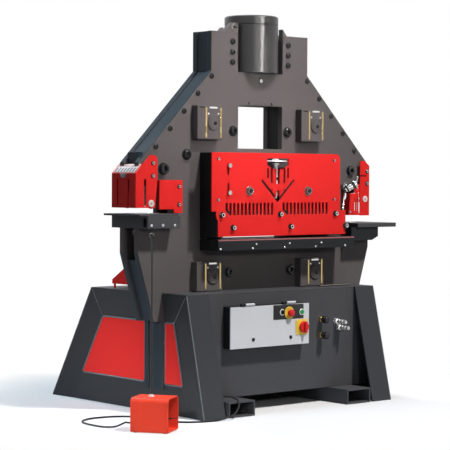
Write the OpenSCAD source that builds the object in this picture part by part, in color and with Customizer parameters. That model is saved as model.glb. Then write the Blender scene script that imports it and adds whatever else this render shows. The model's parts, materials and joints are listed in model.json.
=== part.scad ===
// Hydraulic ironworker: an A-shaped upright of two plates on a welded base, with a ram between the
// plates that drives a notcher, an angle and flat-bar shear, and a punch.
// X runs along the front, Y runs to the back, Z is up. The origin is the middle of the base on the floor.

/* [Base] */
// Width of the base along the front
base_w = 1320; // [1240:10:1400]
// Depth of the base on the floor
base_d = 1320; // [1260:10:1400]
// Height of the base
base_h = 615; // [580:5:660]
// How far the base's front edge sets back at the top
front_lean = 144; // [110:2:170]
// How far the base's rear edge sets back at the top
rear_lean = 365; // [320:5:400]
// Width of each sloping corner post
post_w = 141; // [120:1:160]
// Thickness of a corner post's plate
post_t = 8; // [6:1:12]
// Thickness of each end
end_t = 30; // [24:1:40]
// Width of the border round an end's panels
end_border = 150; // [130:2:160]
// Depth of the recess in each end
end_recess = 17; // [10:1:22]
// Thickness of the base's sheets
sheet_t = 6; // [4:1:8]
// Width of a fork tube
fork_w = 173; // [150:1:180]
// Height of a fork tube
fork_h = 79; // [70:1:90]
// Wall of a fork tube
fork_wall = 8; // [5:1:10]
// Distance from the base's side to a fork tube
fork_in = 160; // [150:1:180]
// Radius of a floor anchor hole
anchor_r = 11; // [8:0.5:12]
// Distance between anchor holes along the front
anchor_x = 1200; // [1190:2:1206]
// Distance between anchor holes from front to back
anchor_y = 1040; // [900:10:1100]

/* [Upright] */
// Thickness of each upright plate
plate_t = 32; // [25:1:36]
// Gap between the two plates
plate_gap = 88; // [80:1:100]
// Distance from the base's front edge to the front plate
frame_setback = 342; // [330:2:360]
// Width of the upright at its shoulders
frame_w = 1630; // [1610:5:1660]
// Width of the head
head_w = 680; // [640:5:720]
// Height of the head's top above the base
head_rise = 1352; // [1330:2:1380]
// Height of the head's lower corner above the base
neck_rise = 1145; // [1130:1:1155]
// Height of the shoulder above the base
shoulder_rise = 663; // [650:1:680]
// Height above the base where the legs start to taper
taper_rise = 205; // [180:1:215]
// How far the legs taper in
leg_in = 105; // [90:1:115]
// Width of the window
window_w = 312; // [280:2:330]
// Height of the window's sill above the base
window_rise = 743; // [735:1:760]
// Height of the window
window_h = 228; // [200:1:240]
// Depth of the side throats
throat_d = 213; // [205:1:225]
// Height of the top of the throats above the base
throat_rise = 545; // [535:1:560]

/* [Drive] */
// Radius of the cylinder
barrel_r = 144; // [130:1:150]
// Radius of the piston
piston_r = 108; // [90:1:112]
// Radius of the piston rod
rod_r = 42; // [34:1:43]
// Height of the cylinder's barrel
barrel_h = 251; // [245:1:270]
// Height of the cylinder's cap
cap_h = 51; // [40:1:60]
// Stroke of the ram
stroke = 75; // [50:1:78]

/* [Shear] */
// Height of the bed's underside above the base
bed_rise = 214; // [205:1:225]
// Height of the bed
bed_h = 57; // [50:1:64]
// How far the bed reaches forward
bed_d = 150; // [148:1:160]
// Height of the flat-bar slot
bar_slot_h = 15; // [12:1:18]
// Height of the red guard
guard_h = 433; // [425:1:440]
// Width of the red guard's upper part
guard_w = 908; // [890:2:930]
// Height of the red guard's lower part
guard_low_h = 130; // [120:1:134]
// How far the lower part is shifted to the right
guard_shift = 44; // [36:1:48]
// Depth of the shear housing
housing_d = 138; // [134:1:144]
// Half width inside the shear housing
housing_in = 373; // [365:1:380]
// Thickness of the housing's sides
housing_t = 40; // [34:1:44]
// Radius of the hold-down wheel
wheel_r = 60; // [50:1:64]

/* [Left station] */
// Height of the left die block's underside above the base
left_rise = 332; // [322:1:342]
// Height of the left die block
left_block_h = 63; // [56:1:66]
// Thickness of the left table
left_table_t = 10; // [8:1:12]
// Length of the left table along the front
left_table_w = 244; // [230:1:250]
// Depth of both die blocks
block_d = 302; // [290:1:310]
// How far the left table reaches past the upright
left_reach = 51; // [40:1:60]

/* [Right station] */
// Height of the right die block's underside above the base
right_rise = 245; // [238:1:255]
// Height of the right die block
right_block_h = 72; // [64:1:80]
// Thickness of the right table
right_table_t = 23; // [18:1:26]
// Length of the right table along the front
right_table_w = 302; // [280:1:310]
// How far the right table reaches past the upright
right_reach = 134; // [120:1:150]
// Radius of the punch
punch_r = 13.5; // [8:0.5:20]

/* [Controls] */
// Width of the control box
box_w = 545; // [520:5:560]
// Height of the control box
box_h = 214; // [200:1:230]
// How far the control box stands out
box_out = 50; // [40:1:60]
// Depth of the control box
box_d = 190; // [150:5:200]
// Distance from the base's top down to the control box
box_drop = 69; // [55:1:80]
// Left side of the control box, from the middle
box_x = -410; // [-430:1:-400]

/* [Foot switch] */
// Width of the foot switch
foot_w = 165; // [150:1:180]
// Length of the foot switch
foot_l = 190; // [180:1:200]
// Height of the foot switch
foot_h = 165; // [150:1:180]
// Wall of the foot switch
foot_wall = 5; // [4:0.5:6]
// Height of the carry rod's ball above the foot switch
carry_h = 755; // [600:5:800]
// Diameter of the cord
cord_d = 9; // [8:0.5:10]

/* [Hidden] */
$fn = 64;
// Overrun of every cut
cut = 2;
// Clearance of flat faces that pass each other
slip = 0.5;
// Clearance round a turning or sliding shaft
run = 0.3;
// Clearance round a pin or a spindle
pin_fit = 0.06;
// Room between fixed pieces that don't touch
room = 2;

// Levels and places that follow from the sizes above
frame_y = frame_setback - base_d / 2;
frame_t = 2 * plate_t + plate_gap;
mid_y = frame_t / 2;
rear_y = base_d - frame_setback;
half_w = base_w / 2;
half_frame = frame_w / 2;
head_z = base_h + head_rise;
neck_z = base_h + neck_rise;
shoulder_z = base_h + shoulder_rise;
taper_z = base_h + taper_rise;
throat_z = base_h + throat_rise;
throat_x = half_frame - throat_d;
left_z = base_h + left_rise;
right_z = base_h + right_rise;
left_top = left_z + left_block_h + left_table_t;
right_top = right_z + right_block_h + right_table_t;
window_z = base_h + window_rise;
bed_z = base_h + bed_rise;
bed_top = bed_z + bed_h;
guard_z = bed_top + bar_slot_h;
guard_top = guard_z + guard_h;
step_z = guard_z + guard_low_h;
guard_t = sheet_t;
guard_y = -housing_d - guard_t;
box_z = base_h - box_drop - box_h;
box_right = box_x + box_w;

// Colours
steel_grey = "dimgray";
dark_grey = [0.2, 0.21, 0.23];
safety_red = [0.86, 0.12, 0.11];
bright_steel = "silver";
brass_colour = "darkgoldenrod";
box_grey = "lightgray";
pedal_red = [0.9, 0.25, 0.15];
black = [0.08, 0.08, 0.08];

// A solid between two corners
module block(low, high) {
  translate(low)
    cube(high - low);
}

// An outline in X and Z, thick along Y from y
module upright(y, t) {
  translate([0, y + t, 0])
    rotate([90, 0, 0])
      linear_extrude(height = t)
        children();
}

// An outline in Y and Z, thick along X from x
module sideways(x, t) {
  translate([x, 0, 0])
    rotate([90, 0, 90])
      linear_extrude(height = t)
        children();
}

// A round bar along Y
module bar_y(place, r, length) {
  translate(place)
    rotate([-90, 0, 0])
      cylinder(r = r, h = length);
}

// A slot with round ends between two points of an outline, along the second axis
module round_slot(x, low, high, w) {
  translate([x, low])
    circle(d = w);
  translate([x, high])
    circle(d = w);
  translate([x - w / 2, low])
    square([w, high - low]);
}

// Everything is drawn from the front face of the upright
module on_frame() {
  translate([0, frame_y, 0])
    children();
}

// Both sides alike
module both_sides() {
  children();
  mirror([1, 0, 0])
    children();
}

// Front and rear of the upright alike
module front_and_rear() {
  children();
  translate([0, frame_t, 0])
    mirror([0, 1, 0])
      children();
}

// Base

// Lip left round an end before its bevel starts
end_lip = 12;
// Slope of the base's front and rear edges
front_slant = sqrt(1 + pow(front_lean / base_h, 2));
rear_slant = sqrt(1 + pow(rear_lean / base_h, 2));
function front_at(z) = -frame_setback + front_lean * z / base_h;
function rear_at(z) = rear_y - rear_lean * z / base_h;
// The end's outline, drawn in by d at its sides and top, with its foot at low
function end_ring(d, low) = [
  [front_at(low) + d * front_slant, low],
  [rear_at(low) - d * rear_slant, low],
  [rear_at(base_h - d) - d * rear_slant, base_h - d],
  [front_at(base_h - d) + d * front_slant, base_h - d]
];
// The upright's legs and their columns in the base
column_x = half_w - end_lip / 2;
column_w = 100;
column_z = 120;
foot_down = 145;
foot_z = base_h - foot_down;
apron_down = 55;
apron_z = base_h - apron_down;
leg_x = half_frame - leg_in;
// Foot flange with the anchor holes
flange_w = 60;
flange_t = 10;
post_cut = post_t * front_slant;
rear_post_cut = post_t * rear_slant;

module base_end() {
  difference() {
    union() {
      difference() {
        sideways(-half_w, end_t)
          polygon(end_ring(0, 0));
        hull() {
          sideways(-half_w - cut, cut)
            polygon(end_ring(end_lip, -cut));
          sideways(-half_w, end_recess)
            polygon(end_ring(end_border, -cut));
        }
      }
      sideways(-half_w, post_w)
        polygon([
          [front_at(0), 0],
          [front_at(0) + post_cut, 0],
          [front_at(base_h) + post_cut, base_h],
          [front_at(base_h), base_h]
        ]);
      sideways(-half_w, post_w)
        polygon([
          [rear_at(0) - rear_post_cut, 0],
          [rear_at(0), 0],
          [rear_at(base_h), base_h],
          [rear_at(base_h) - rear_post_cut, base_h]
        ]);
      block([-half_w + end_t, front_at(0) + post_cut, 0],
        [-half_w + end_t + flange_w, rear_at(0) - rear_post_cut, flange_t]);
    }
    sideways(-half_w - cut, end_t + 2 * cut)
      translate([0, column_z])
        square([frame_t, base_h]);
    for (side = [-1, 1])
      translate([-anchor_x / 2, side * anchor_y / 2 - frame_y, -cut])
        cylinder(r = anchor_r, h = flange_t + 2 * cut);
  }
}

module base_left_end() {
  color(steel_grey) on_frame()
    base_end();
}

module base_right_end() {
  color(steel_grey) on_frame()
    mirror([1, 0, 0])
      base_end();
}

// Sheets between the two ends
sheet_x = half_w - end_t;
top_t = 8;
seam = 1;
top_front = front_at(base_h) + post_cut + seam;
top_rear = rear_at(base_h) - rear_post_cut - seam;
front_sheet_y = top_front;
rear_sheet_y = top_rear - sheet_t;
// Hose couplers: places on the front sheet and sizes
coupler_out = 250;
coupler_x = box_right + coupler_out;
coupler_drop = 183;
coupler_z = base_h - coupler_drop;
coupler_step = [20, -34];
coupler_r = 12;
coupler_l = 62;
coupler_nut_r = 17;
coupler_nut_l = 18;
capped_out = 135;
capped_x = box_right + capped_out;
capped_r = 19;
capped_l = 46;
coupler_places = [
  [coupler_x, coupler_z],
  [coupler_x + coupler_step[0], coupler_z + coupler_step[1]]
];
capped_places = [
  [capped_x, coupler_z - coupler_step[1] / 2],
  [capped_x, coupler_z + 2 * coupler_step[1]]
];
// Gland where the cord goes in
entry_x = -545;
entry_z = 112;
// Rear vents
vent_w = 180;
vent_h = 14;
vent_step = 42;
vent_count = 6;
vent_z = 260;

module base_front_sheet() {
  color(steel_grey) on_frame()
    difference() {
      block([-sheet_x, front_sheet_y, fork_h], [sheet_x, front_sheet_y + sheet_t, base_h - top_t]);
      block([box_x, front_sheet_y - cut, box_z],
        [box_right, front_sheet_y + sheet_t + cut, box_z + box_h]);
      for (place = concat(coupler_places, capped_places))
        bar_y([place[0], front_sheet_y - cut, place[1]], coupler_r + run, sheet_t + 2 * cut);
    }
}

module base_rear_sheet() {
  color(steel_grey) on_frame()
    difference() {
      block([-sheet_x, rear_sheet_y, fork_h], [sheet_x, rear_sheet_y + sheet_t, base_h - top_t]);
      for (side = [-1, 1], i = [0 : vent_count - 1])
        translate([side * sheet_x / 2 - vent_w / 2, rear_sheet_y - cut, vent_z + i * vent_step])
          cube([vent_w, sheet_t + 2 * cut, vent_h]);
    }
}

module base_top() {
  color(steel_grey) on_frame() {
    block([-sheet_x, top_front, base_h - top_t], [sheet_x, 0, base_h]);
    block([-sheet_x, frame_t, base_h - top_t], [sheet_x, top_rear, base_h]);
  }
}

module fork_tubes() {
  color(steel_grey) on_frame()
    both_sides()
      translate([half_w - fork_in - fork_w, -frame_setback, 0])
        difference() {
          cube([fork_w, base_d, fork_h]);
          translate([fork_wall, -cut, fork_wall])
            cube([fork_w - 2 * fork_wall, base_d + 2 * cut, fork_h - 2 * fork_wall]);
        }
}

// Red panels in the ends, either side of the leg column
panel_t = 3;
panel_inset = 5;
column_side = 8;

module end_panels() {
  color(safety_red) on_frame()
    both_sides()
      sideways(-half_w + end_recess - panel_t, panel_t)
        difference() {
          polygon(end_ring(end_border + panel_inset, end_border + panel_inset));
          translate([-column_side, 0])
            square([frame_t + 2 * column_side, base_h]);
        }
}

// Tank, motor and pump
tank_w = 900;
tank_d = 280;
tank_back = 60;
tank_y = rear_sheet_y - tank_d - tank_back;
motor_r = 95;
motor_l = 360;
pump_r = 50;
pump_l = 120;
motor_foot = 25;
motor_room = 33;
tank_h = base_h - top_t - fork_h - motor_foot - 2 * motor_r - motor_room;

module power_unit() {
  color(dark_grey) on_frame()
    translate([-tank_w / 2, tank_y, fork_h]) {
      cube([tank_w, tank_d, tank_h]);
      translate([motor_r, tank_d / 2, tank_h + motor_r + motor_foot])
        rotate([0, 90, 0]) {
          cylinder(r = motor_r, h = motor_l);
          translate([0, 0, motor_l])
            cylinder(r = pump_r, h = pump_l);
        }
      translate([motor_r, tank_d / 2 - motor_r / 2, tank_h])
        cube([motor_l, motor_r, motor_foot + motor_r / 2]);
    }
}

// Drop chute behind the shear: a sloping sheet between two cheeks
chute_x = 600;
chute_t = 5;
chute_gap = 4;
chute_y = frame_t + chute_gap;
chute_run = 351;
chute_high = 225;
chute_low = 30;
chute_cheek = 30;
chute_lip = 14;
chute_up = 22;
chute_leg = 14;
chute_end = chute_y + chute_run;

module rear_chute() {
  color(safety_red) on_frame() {
    sideways(-chute_x, 2 * chute_x)
      polygon([
        [chute_y, base_h + chute_high - chute_t],
        [chute_end, base_h + chute_low - chute_t],
        [chute_end, base_h + chute_low],
        [chute_y, base_h + chute_high]
      ]);
    both_sides()
      sideways(-chute_x, chute_t)
        polygon([
          [chute_y, base_h + chute_up],
          [chute_end - 2 * chute_leg, base_h + chute_up],
          [chute_end - 2 * chute_leg, base_h],
          [chute_end - chute_leg, base_h],
          [chute_end - chute_leg, base_h + chute_up],
          [chute_end, base_h + chute_up],
          [chute_end, base_h + chute_low + chute_lip],
          [chute_y, base_h + chute_high + chute_cheek]
        ]);
  }
}

// Upright

// Slot for the cylinder and the horns either side of it
slot_gap = 14;
slot_x = barrel_r + slot_gap;
horn_rise = 51;
horn_run = 37;
horn_foot = 94;
ear_rise = 35;
ear_run = 30;
lift_r = 17;
lift_wall = 22;
// Clear hole below the cylinder and the two pin holes over the window
eye_w = 20;
eye_h = 32;
eye_drop = 40;
pin_r = 6;
pin_x = 80;
pin_rise = 12;

// The upright's outline; lug is -1 with the lifting horn on the left, 1 on the right
function horn(side, lug) = side == lug
  ? [[side * (slot_x + horn_foot), head_z], [side * (slot_x + horn_run), head_z + horn_rise],
    [side * slot_x, head_z + horn_rise]]
  : [[side * (slot_x + ear_run), head_z], [side * slot_x, head_z + ear_rise]];
function back_to_front(list) = [for (i = [len(list) - 1 : -1 : 0]) list[i]];
function plate_side(side, die_z, lug) = concat(
  [
    [side * (column_x - column_w), column_z],
    [side * column_x, column_z],
    [side * column_x, foot_z],
    [side * leg_x, foot_z],
    [side * half_frame, taper_z],
    [side * half_frame, die_z],
    [side * throat_x, die_z],
    [side * throat_x, throat_z],
    [side * half_frame, throat_z],
    [side * half_frame, shoulder_z],
    [side * head_w / 2, neck_z],
    [side * head_w / 2, head_z]
  ],
  horn(side, lug),
  [[side * slot_x, neck_z]]
);
function plate_outline(lug) = concat(
  [[-(column_x - column_w), apron_z]],
  plate_side(-1, left_z, lug),
  back_to_front(plate_side(1, right_z, lug)),
  [[column_x - column_w, apron_z]]
);

// Spacer bars between the plates, and the bolts that pass through them
spacer_t = 32;
spacer_in = 5;
spacer_end = 10;
leg_spacer_in = 14;
leg_spacer_t = 12;
leg_spacer_drop = 40;
shoulder_stop = 40;
buffer_in = 25;
buffer_w = 45;
buffer_low = 3;
buffer_h = 57;
tie_first = 20;
tie_pitch = 130;
tie_count = 5;
tie_r = 10;
tie_head_r = 15;
tie_head_h = 10;
diagonal = [half_frame - head_w / 2, neck_z - shoulder_z];
diagonal_l = norm(diagonal);
diagonal_dir = diagonal / diagonal_l;

// Place of a tie bolt on the left diagonal edge
function tie_place(i) = [
  -head_w / 2 - diagonal_dir[0] * (tie_first + i * tie_pitch) + diagonal_dir[1] * (spacer_in + spacer_t / 2),
  neck_z - diagonal_dir[1] * (tie_first + i * tie_pitch) - diagonal_dir[0] * (spacer_in + spacer_t / 2)
];
tie_places = [for (i = [0 : tie_count - 1]) tie_place(i)];

// Cylinder bolts beside the slot
cyl_bolt_in = 39;
cyl_bolt_x = slot_x + cyl_bolt_in;
cyl_bolt_pitch = 54;
cyl_bolt_count = 3;
cyl_bolt_rise = 50;
cyl_bolt_r = 9;
cyl_head_r = 16;
cyl_head_h = 14;
cyl_places = [for (i = [0 : cyl_bolt_count - 1]) [cyl_bolt_x, neck_z + cyl_bolt_rise + i * cyl_bolt_pitch]];

// Hex studs in the front plate, as shares of half the width and of the height
stud_r = 10;
stud_l = 24;
stud_head_r = 24;
stud_head_h = 18;
stud_shares = [[-0.62, 0.523], [0.823, 0.466]];
big_stud_share = [-0.806, 0.4675];
big_head_r = 27;
big_head_h = 24;
window_stud_out = 36;
window_stud_share = 0.4;
low_stud_x = 217;
low_stud_rise = 94;
stud_places = concat(
  [for (s = stud_shares) [s[0] * half_frame, base_h + s[1] * head_rise]],
  [for (side = [-1, 1]) [side * (window_w / 2 + window_stud_out), window_z + window_stud_share * window_h]],
  [for (side = [-1, 1]) [side * low_stud_x, base_h + low_stud_rise]]
);
big_place = [big_stud_share[0] * half_frame, base_h + big_stud_share[1] * head_rise];

// Guide blocks with two brass gibs each
guide_x = 363;
guide_left = 106;
guide_right = 65;
guide_t = 46;
guide_high_h = 172;
guide_low_h = 150;
guide_high_rise = 787;
guide_low_rise = 4;
guide_boss_r = 40;
guide_boss_h = 5;
gib_x = 49;
gib_w = 9;
gib_end = 9;
gib_proud = 3;
gib_fit = 0.2;
ram_clear = 2;
ram_y = plate_t + ram_clear;
ram_t = plate_gap - 2 * ram_clear;
gib_l = guide_t + gib_proud + plate_t + ram_clear - run;

// Middle of each guide block and its height
function guide_list() = [
  for (side = [-1, 1], row = [[guide_high_rise, guide_high_h], [guide_low_rise, guide_low_h]])
    [side * guide_x, base_h + row[0] + row[1] / 2, row[1]]
];

module gib_outlines(fit) {
  for (g = guide_list(), side = [-1, 1])
    translate([g[0] + side * gib_x, g[1]])
      square([gib_w + 2 * fit, g[2] - 2 * gib_end + 2 * fit], center = true);
}

// Openings for the blade carrier and for cut pieces
carrier_x = 250;
carrier_low = 490;
carrier_high = 640;
carrier_room = 5;
drop_x = housing_in - carrier_room;
drop_low = 223;
drop_high = 315;
bar_x = 240;
bar_low = 245;

module plate_openings() {
  translate([-window_w / 2, window_z])
    square([window_w, window_h]);
  translate([0, neck_z - eye_drop])
    round_slot(0, -(eye_h - eye_w) / 2, (eye_h - eye_w) / 2, eye_w);
  for (side = [-1, 1])
    translate([side * pin_x, window_z + window_h + pin_rise])
      circle(r = pin_r);
  gib_outlines(gib_fit);
  both_sides() {
    for (place = tie_places)
      translate(place)
        circle(r = tie_r + run);
    for (place = cyl_places)
      translate(place)
        circle(r = cyl_bolt_r + run);
  }
}

// Hole of the lifting bush in the taller horn
module lift_hole(lug, r) {
  translate([lug * (slot_x + lift_wall), head_z + horn_rise - lift_wall - lift_r / 2])
    circle(r = r);
}

module front_plate() {
  color(steel_grey) on_frame()
    difference() {
      upright(0, plate_t)
        difference() {
          polygon(plate_outline(-1));
          plate_openings();
          lift_hole(-1, lift_r);
          translate([-carrier_x - carrier_room, base_h + carrier_low - stroke - 3 * carrier_room])
            square([2 * (carrier_x + carrier_room),
              carrier_high - carrier_low + stroke + 4 * carrier_room]);
          translate([-drop_x, base_h + drop_low])
            square([2 * drop_x, drop_high - drop_low]);
        }
      for (place = concat(stud_places, [big_place]))
        bar_y([place[0], -cut, place[1]], stud_r + run, stud_l + cut + run);
    }
}

module rear_plate() {
  color(steel_grey) on_frame()
    upright(plate_t + plate_gap, plate_t)
      difference() {
        polygon(plate_outline(1));
        plate_openings();
        lift_hole(1, lift_r);
        translate([-bar_x, base_h + bar_low])
          square([2 * bar_x, drop_high - bar_low]);
      }
}

// A bar between the plates along an edge from p to q, on the left of the edge
module spacer(p, q, inset, t) {
  dir = (q - p) / norm(q - p);
  inward = [-dir[1], dir[0]];
  polygon([p + inward * inset, q + inward * inset, q + inward * (inset + t), p + inward * (inset + t)]);
}

module edge_spacers() {
  color(dark_grey) on_frame() {
    block([-half_frame + buffer_in, plate_t, shoulder_z - buffer_low],
      [-half_frame + buffer_in + buffer_w, plate_t + plate_gap, shoulder_z - buffer_low + buffer_h]);
    both_sides()
      upright(plate_t, plate_gap)
        difference() {
          union() {
            spacer([-head_w / 2, head_z], [-head_w / 2, neck_z + spacer_t],
              spacer_in, spacer_t);
            spacer([-head_w / 2, neck_z],
              [-half_frame, shoulder_z] + diagonal_dir * shoulder_stop,
              spacer_in, spacer_t);
            spacer([-half_frame, taper_z] + [leg_in, foot_z - taper_z]
              * leg_spacer_drop / (taper_z - foot_z),
              [-leg_x, foot_z], leg_spacer_in, leg_spacer_t);
            spacer([-column_x, foot_z - spacer_end], [-column_x, column_z],
              spacer_in, leg_spacer_t);
          }
          for (place = tie_places)
            translate(place)
              circle(r = tie_r + run);
        }
  }
}

// A button head on a shank, head outward along -Y from the face y
module button_bolt(place, y, shank_r, shank_l, head_r, head_h) {
  bar_y([place[0], y, place[1]], shank_r, shank_l);
  translate([place[0], y, place[1]])
    rotate([90, 0, 0]) {
      cylinder(r = head_r, h = head_h / 2);
      translate([0, 0, head_h / 2])
        cylinder(r1 = head_r, r2 = head_r / 2, h = head_h / 2);
    }
}

// A hex head on a shank, head outward along -Y from the face y
module hex_bolt(place, y, shank_r, shank_l, head_r, head_h) {
  bar_y([place[0], y, place[1]], shank_r, shank_l);
  translate([place[0], y, place[1]])
    rotate([90, 0, 0])
      cylinder(r = head_r, h = head_h, $fn = 6);
}

module frame_bolts() {
  color(black) on_frame() {
    both_sides()
      for (place = tie_places) {
        button_bolt(place, 0, tie_r, frame_t, tie_head_r, tie_head_h);
        bar_y([place[0], frame_t, place[1]], tie_head_r, tie_head_h);
      }
    front_and_rear()
      both_sides()
        for (place = cyl_places)
          button_bolt(place, 0, cyl_bolt_r, plate_t + cyl_head_h, cyl_head_r, cyl_head_h);
    for (place = stud_places)
      hex_bolt(place, 0, stud_r, stud_l, stud_head_r, stud_head_h);
    hex_bolt(big_place, 0, stud_r, stud_l, big_head_r, big_head_h);
  }
}

module guide_blocks() {
  color(steel_grey) on_frame()
    front_and_rear()
      difference() {
        for (g = guide_list()) {
          block([g[0] - guide_left, -guide_t, g[1] - g[2] / 2],
            [g[0] + guide_right, 0, g[1] + g[2] / 2]);
          bar_y([g[0], -guide_t - guide_boss_h, g[1]], guide_boss_r, guide_boss_h + guide_t / 2);
        }
        upright(-guide_t - guide_boss_h - cut, guide_t + guide_boss_h + 2 * cut)
          gib_outlines(gib_fit);
      }
}

module brass_gibs() {
  color(brass_colour) on_frame()
    front_and_rear()
      upright(-guide_t - gib_proud, gib_l)
        gib_outlines(0);
}

// Drive

// Barrel's ears between the plates, the gland below its bore and the cap's groove
ear_past = 43;
ear_x = cyl_bolt_x + ear_past;
ear_low = 20;
ear_high = 190;
gland_h = 36;
piston_h = 60;
piston_gap = 20;
groove = 6;
ram_drop = 25;
barrel_top = neck_z + barrel_h;

module cylinder_barrel() {
  color(dark_grey) on_frame()
    difference() {
      union() {
        translate([0, mid_y, neck_z])
          cylinder(r = barrel_r, h = barrel_h, $fn = 96);
        block([-ear_x, plate_t, neck_z + ear_low], [ear_x, plate_t + plate_gap, neck_z + ear_high]);
      }
      translate([0, mid_y, neck_z + gland_h])
        cylinder(r = piston_r, h = barrel_h, $fn = 96);
      translate([0, mid_y, neck_z - cut])
        cylinder(r = rod_r + run, h = barrel_h);
      front_and_rear()
        for (side = [-1, 1], place = cyl_places)
          bar_y([side * place[0], plate_t - cut, place[1]], cyl_bolt_r + run,
            cyl_head_h + cut + run);
    }
}

module cylinder_cap() {
  color(dark_grey) on_frame()
    translate([0, mid_y, barrel_top])
      rotate_extrude($fn = 96)
        polygon([
          [0, 0],
          [barrel_r - groove, 0],
          [barrel_r - groove, groove],
          [barrel_r, groove],
          [barrel_r, cap_h - groove],
          [barrel_r - groove, cap_h],
          [0, cap_h]
        ]);
}

module piston_rod() {
  color(bright_steel) on_frame()
    translate([0, mid_y, neck_z - ram_drop]) {
      cylinder(r = rod_r, h = ram_drop + barrel_h - piston_gap);
      translate([0, 0, ram_drop + barrel_h - piston_gap - piston_h])
        cylinder(r = piston_r - run, h = piston_h, $fn = 96);
    }
}

// Ram plate: its arms and waist
ram_top_x = 130;
arm_in = 45;
arm_rise = 590;
arm_h = 45;
arm_root = 600;
waist_x = 440;
waist_rise = 485;
ram_foot_rise = 25;
arm_x = half_frame - arm_in;
arm_z = base_h + arm_rise;

function ram_side(side) = [
  [side * waist_x, base_h + ram_foot_rise],
  [side * waist_x, base_h + waist_rise],
  [side * arm_root, arm_z],
  [side * arm_x, arm_z],
  [side * arm_x, arm_z + arm_h],
  [side * ram_top_x, neck_z - ram_drop]
];

module ram_plate() {
  color(dark_grey) on_frame()
    upright(ram_y, ram_t)
      difference() {
        polygon(concat(ram_side(-1), back_to_front(ram_side(1))));
        translate([-window_w / 2 - carrier_room, window_z - carrier_room])
          square([window_w + 2 * carrier_room, window_h + 2 * carrier_room]);
        translate([-bar_x, bed_top])
          square([2 * bar_x, drop_high - bed_rise - bed_h]);
      }
}

// Front shear

// Housing: right foot, nut bar and gib bar; blade seat in the bed
foot_x = 500;
foot_drop = 20;
bar_d = 26;
nut_bar_rise = 578;
nut_bar_h = 15;
gib_bar_h = 110;
gib_bar_in = 24;
housing_drop = 4;
housing_z = guard_z - housing_drop;
blade_back = 35;
blade_d = 25;
blade_h = 40;
blade_x = 360;
bed_out = 147;
spindle_back = 14;
spindle_y = guard_y + guard_t + spindle_back;
spindle_r = 9;

// Gib bolts: two rows, the lower one stepped to the right
gib_bolt_step = 403;
gib_bolt_x = -388;
gib_bolt_shift = 76;
gib_bolt_high = 112;
gib_bolt_low = 46;
gib_bolt_r = 7;
gib_bolt_l = 20;
gib_head_r = 13;
gib_head_h = 17;
gib_flange_r = 16;
gib_flange_h = 4;
gib_bolts_at = [
  for (i = [0 : 2], row = [[0, gib_bolt_high], [gib_bolt_shift, gib_bolt_low]])
    [gib_bolt_x + i * gib_bolt_step + row[0], guard_z + row[1]]
];

module bolt_holes(y, depth) {
  for (place = gib_bolts_at)
    bar_y([place[0], y, place[1]], gib_bolt_r + run, depth);
}

module shear_housing() {
  color(dark_grey) on_frame()
    difference() {
      union() {
        both_sides()
          block([housing_in, -housing_d, housing_z], [housing_in + housing_t, 0, guard_top]);
        block([housing_in, -housing_d, housing_z], [foot_x, 0, step_z - foot_drop]);
        block([-housing_in, -housing_d, base_h + nut_bar_rise],
          [housing_in, -housing_d + bar_d, base_h + nut_bar_rise + nut_bar_h]);
        block([-housing_in, -housing_d, guard_z + gib_bar_in],
          [housing_in, -housing_d + bar_d, guard_z + gib_bar_in + gib_bar_h]);
      }
      translate([0, spindle_y, base_h + nut_bar_rise - cut])
        cylinder(r = spindle_r + pin_fit, h = nut_bar_h + 2 * cut);
      bolt_holes(-housing_d - cut, gib_bolt_l + cut);
    }
}

// Slots and cuts in the guard
corner_r = 30;
ear_bolt_r = 36;
louver_w = 14;
louver_count = 13;
louver_first = 41;
louver_pitch = 26.1;
louver_low = 108;
louver_high = 174;
louver_hook = 22;
vee_x = 110;
vee_low = 182;
vee_high = 288;
vee_w = 14;
view_w = 12;
view_slots = [[71, 306, 350], [45, 280, 350]];
spindle_slot_w = 22;
spindle_slot = [272, 352];
foot_slot = [196, 226];
wheel_cut_x = 76;
wheel_cut_low = 352;
wheel_cut_mid = 370;
wheel_cut_high = 406;
wheel_cut_in = 40;
knob_x = -343;
knob_slot_w = 10;
knob_high = 366;
knob_low = 226;
knob_travel = 45;
guard_hole_r = 5;
guard_hole = [42, 240];

module guard_outline() {
  translate([-guard_w / 2, step_z])
    square([guard_w - corner_r, guard_top - step_z]);
  translate([-guard_w / 2, step_z])
    square([guard_w, guard_top - step_z - corner_r]);
  translate([guard_w / 2 - corner_r, guard_top - corner_r])
    circle(r = corner_r);
  translate([-guard_w / 2 + guard_shift, guard_z])
    square([guard_w, guard_low_h]);
  translate(gib_bolts_at[0])
    circle(r = ear_bolt_r);
}

// A straight narrow cut between two points
module narrow_cut(p, q, w) {
  translate(p)
    rotate(atan2(q[1] - p[1], q[0] - p[0])) {
      circle(d = w);
      translate([0, -w / 2])
        square([norm(q - p), w]);
      translate([norm(q - p), 0])
        circle(d = w);
    }
}

module louvers(side) {
  for (i = [0 : louver_count - 1]) {
    x = side * (louver_first + i * louver_pitch);
    short = (side < 0 ? i == louver_count - 1 : i == 0) ? louver_hook : 0;
    low = louver_low + louver_w / 2;
    round_slot(x, low + short, louver_high - louver_w / 2, louver_w);
    if (short > 0)
      narrow_cut([x, low + short], [x + louver_pitch, low], louver_w);
  }
}

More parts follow.
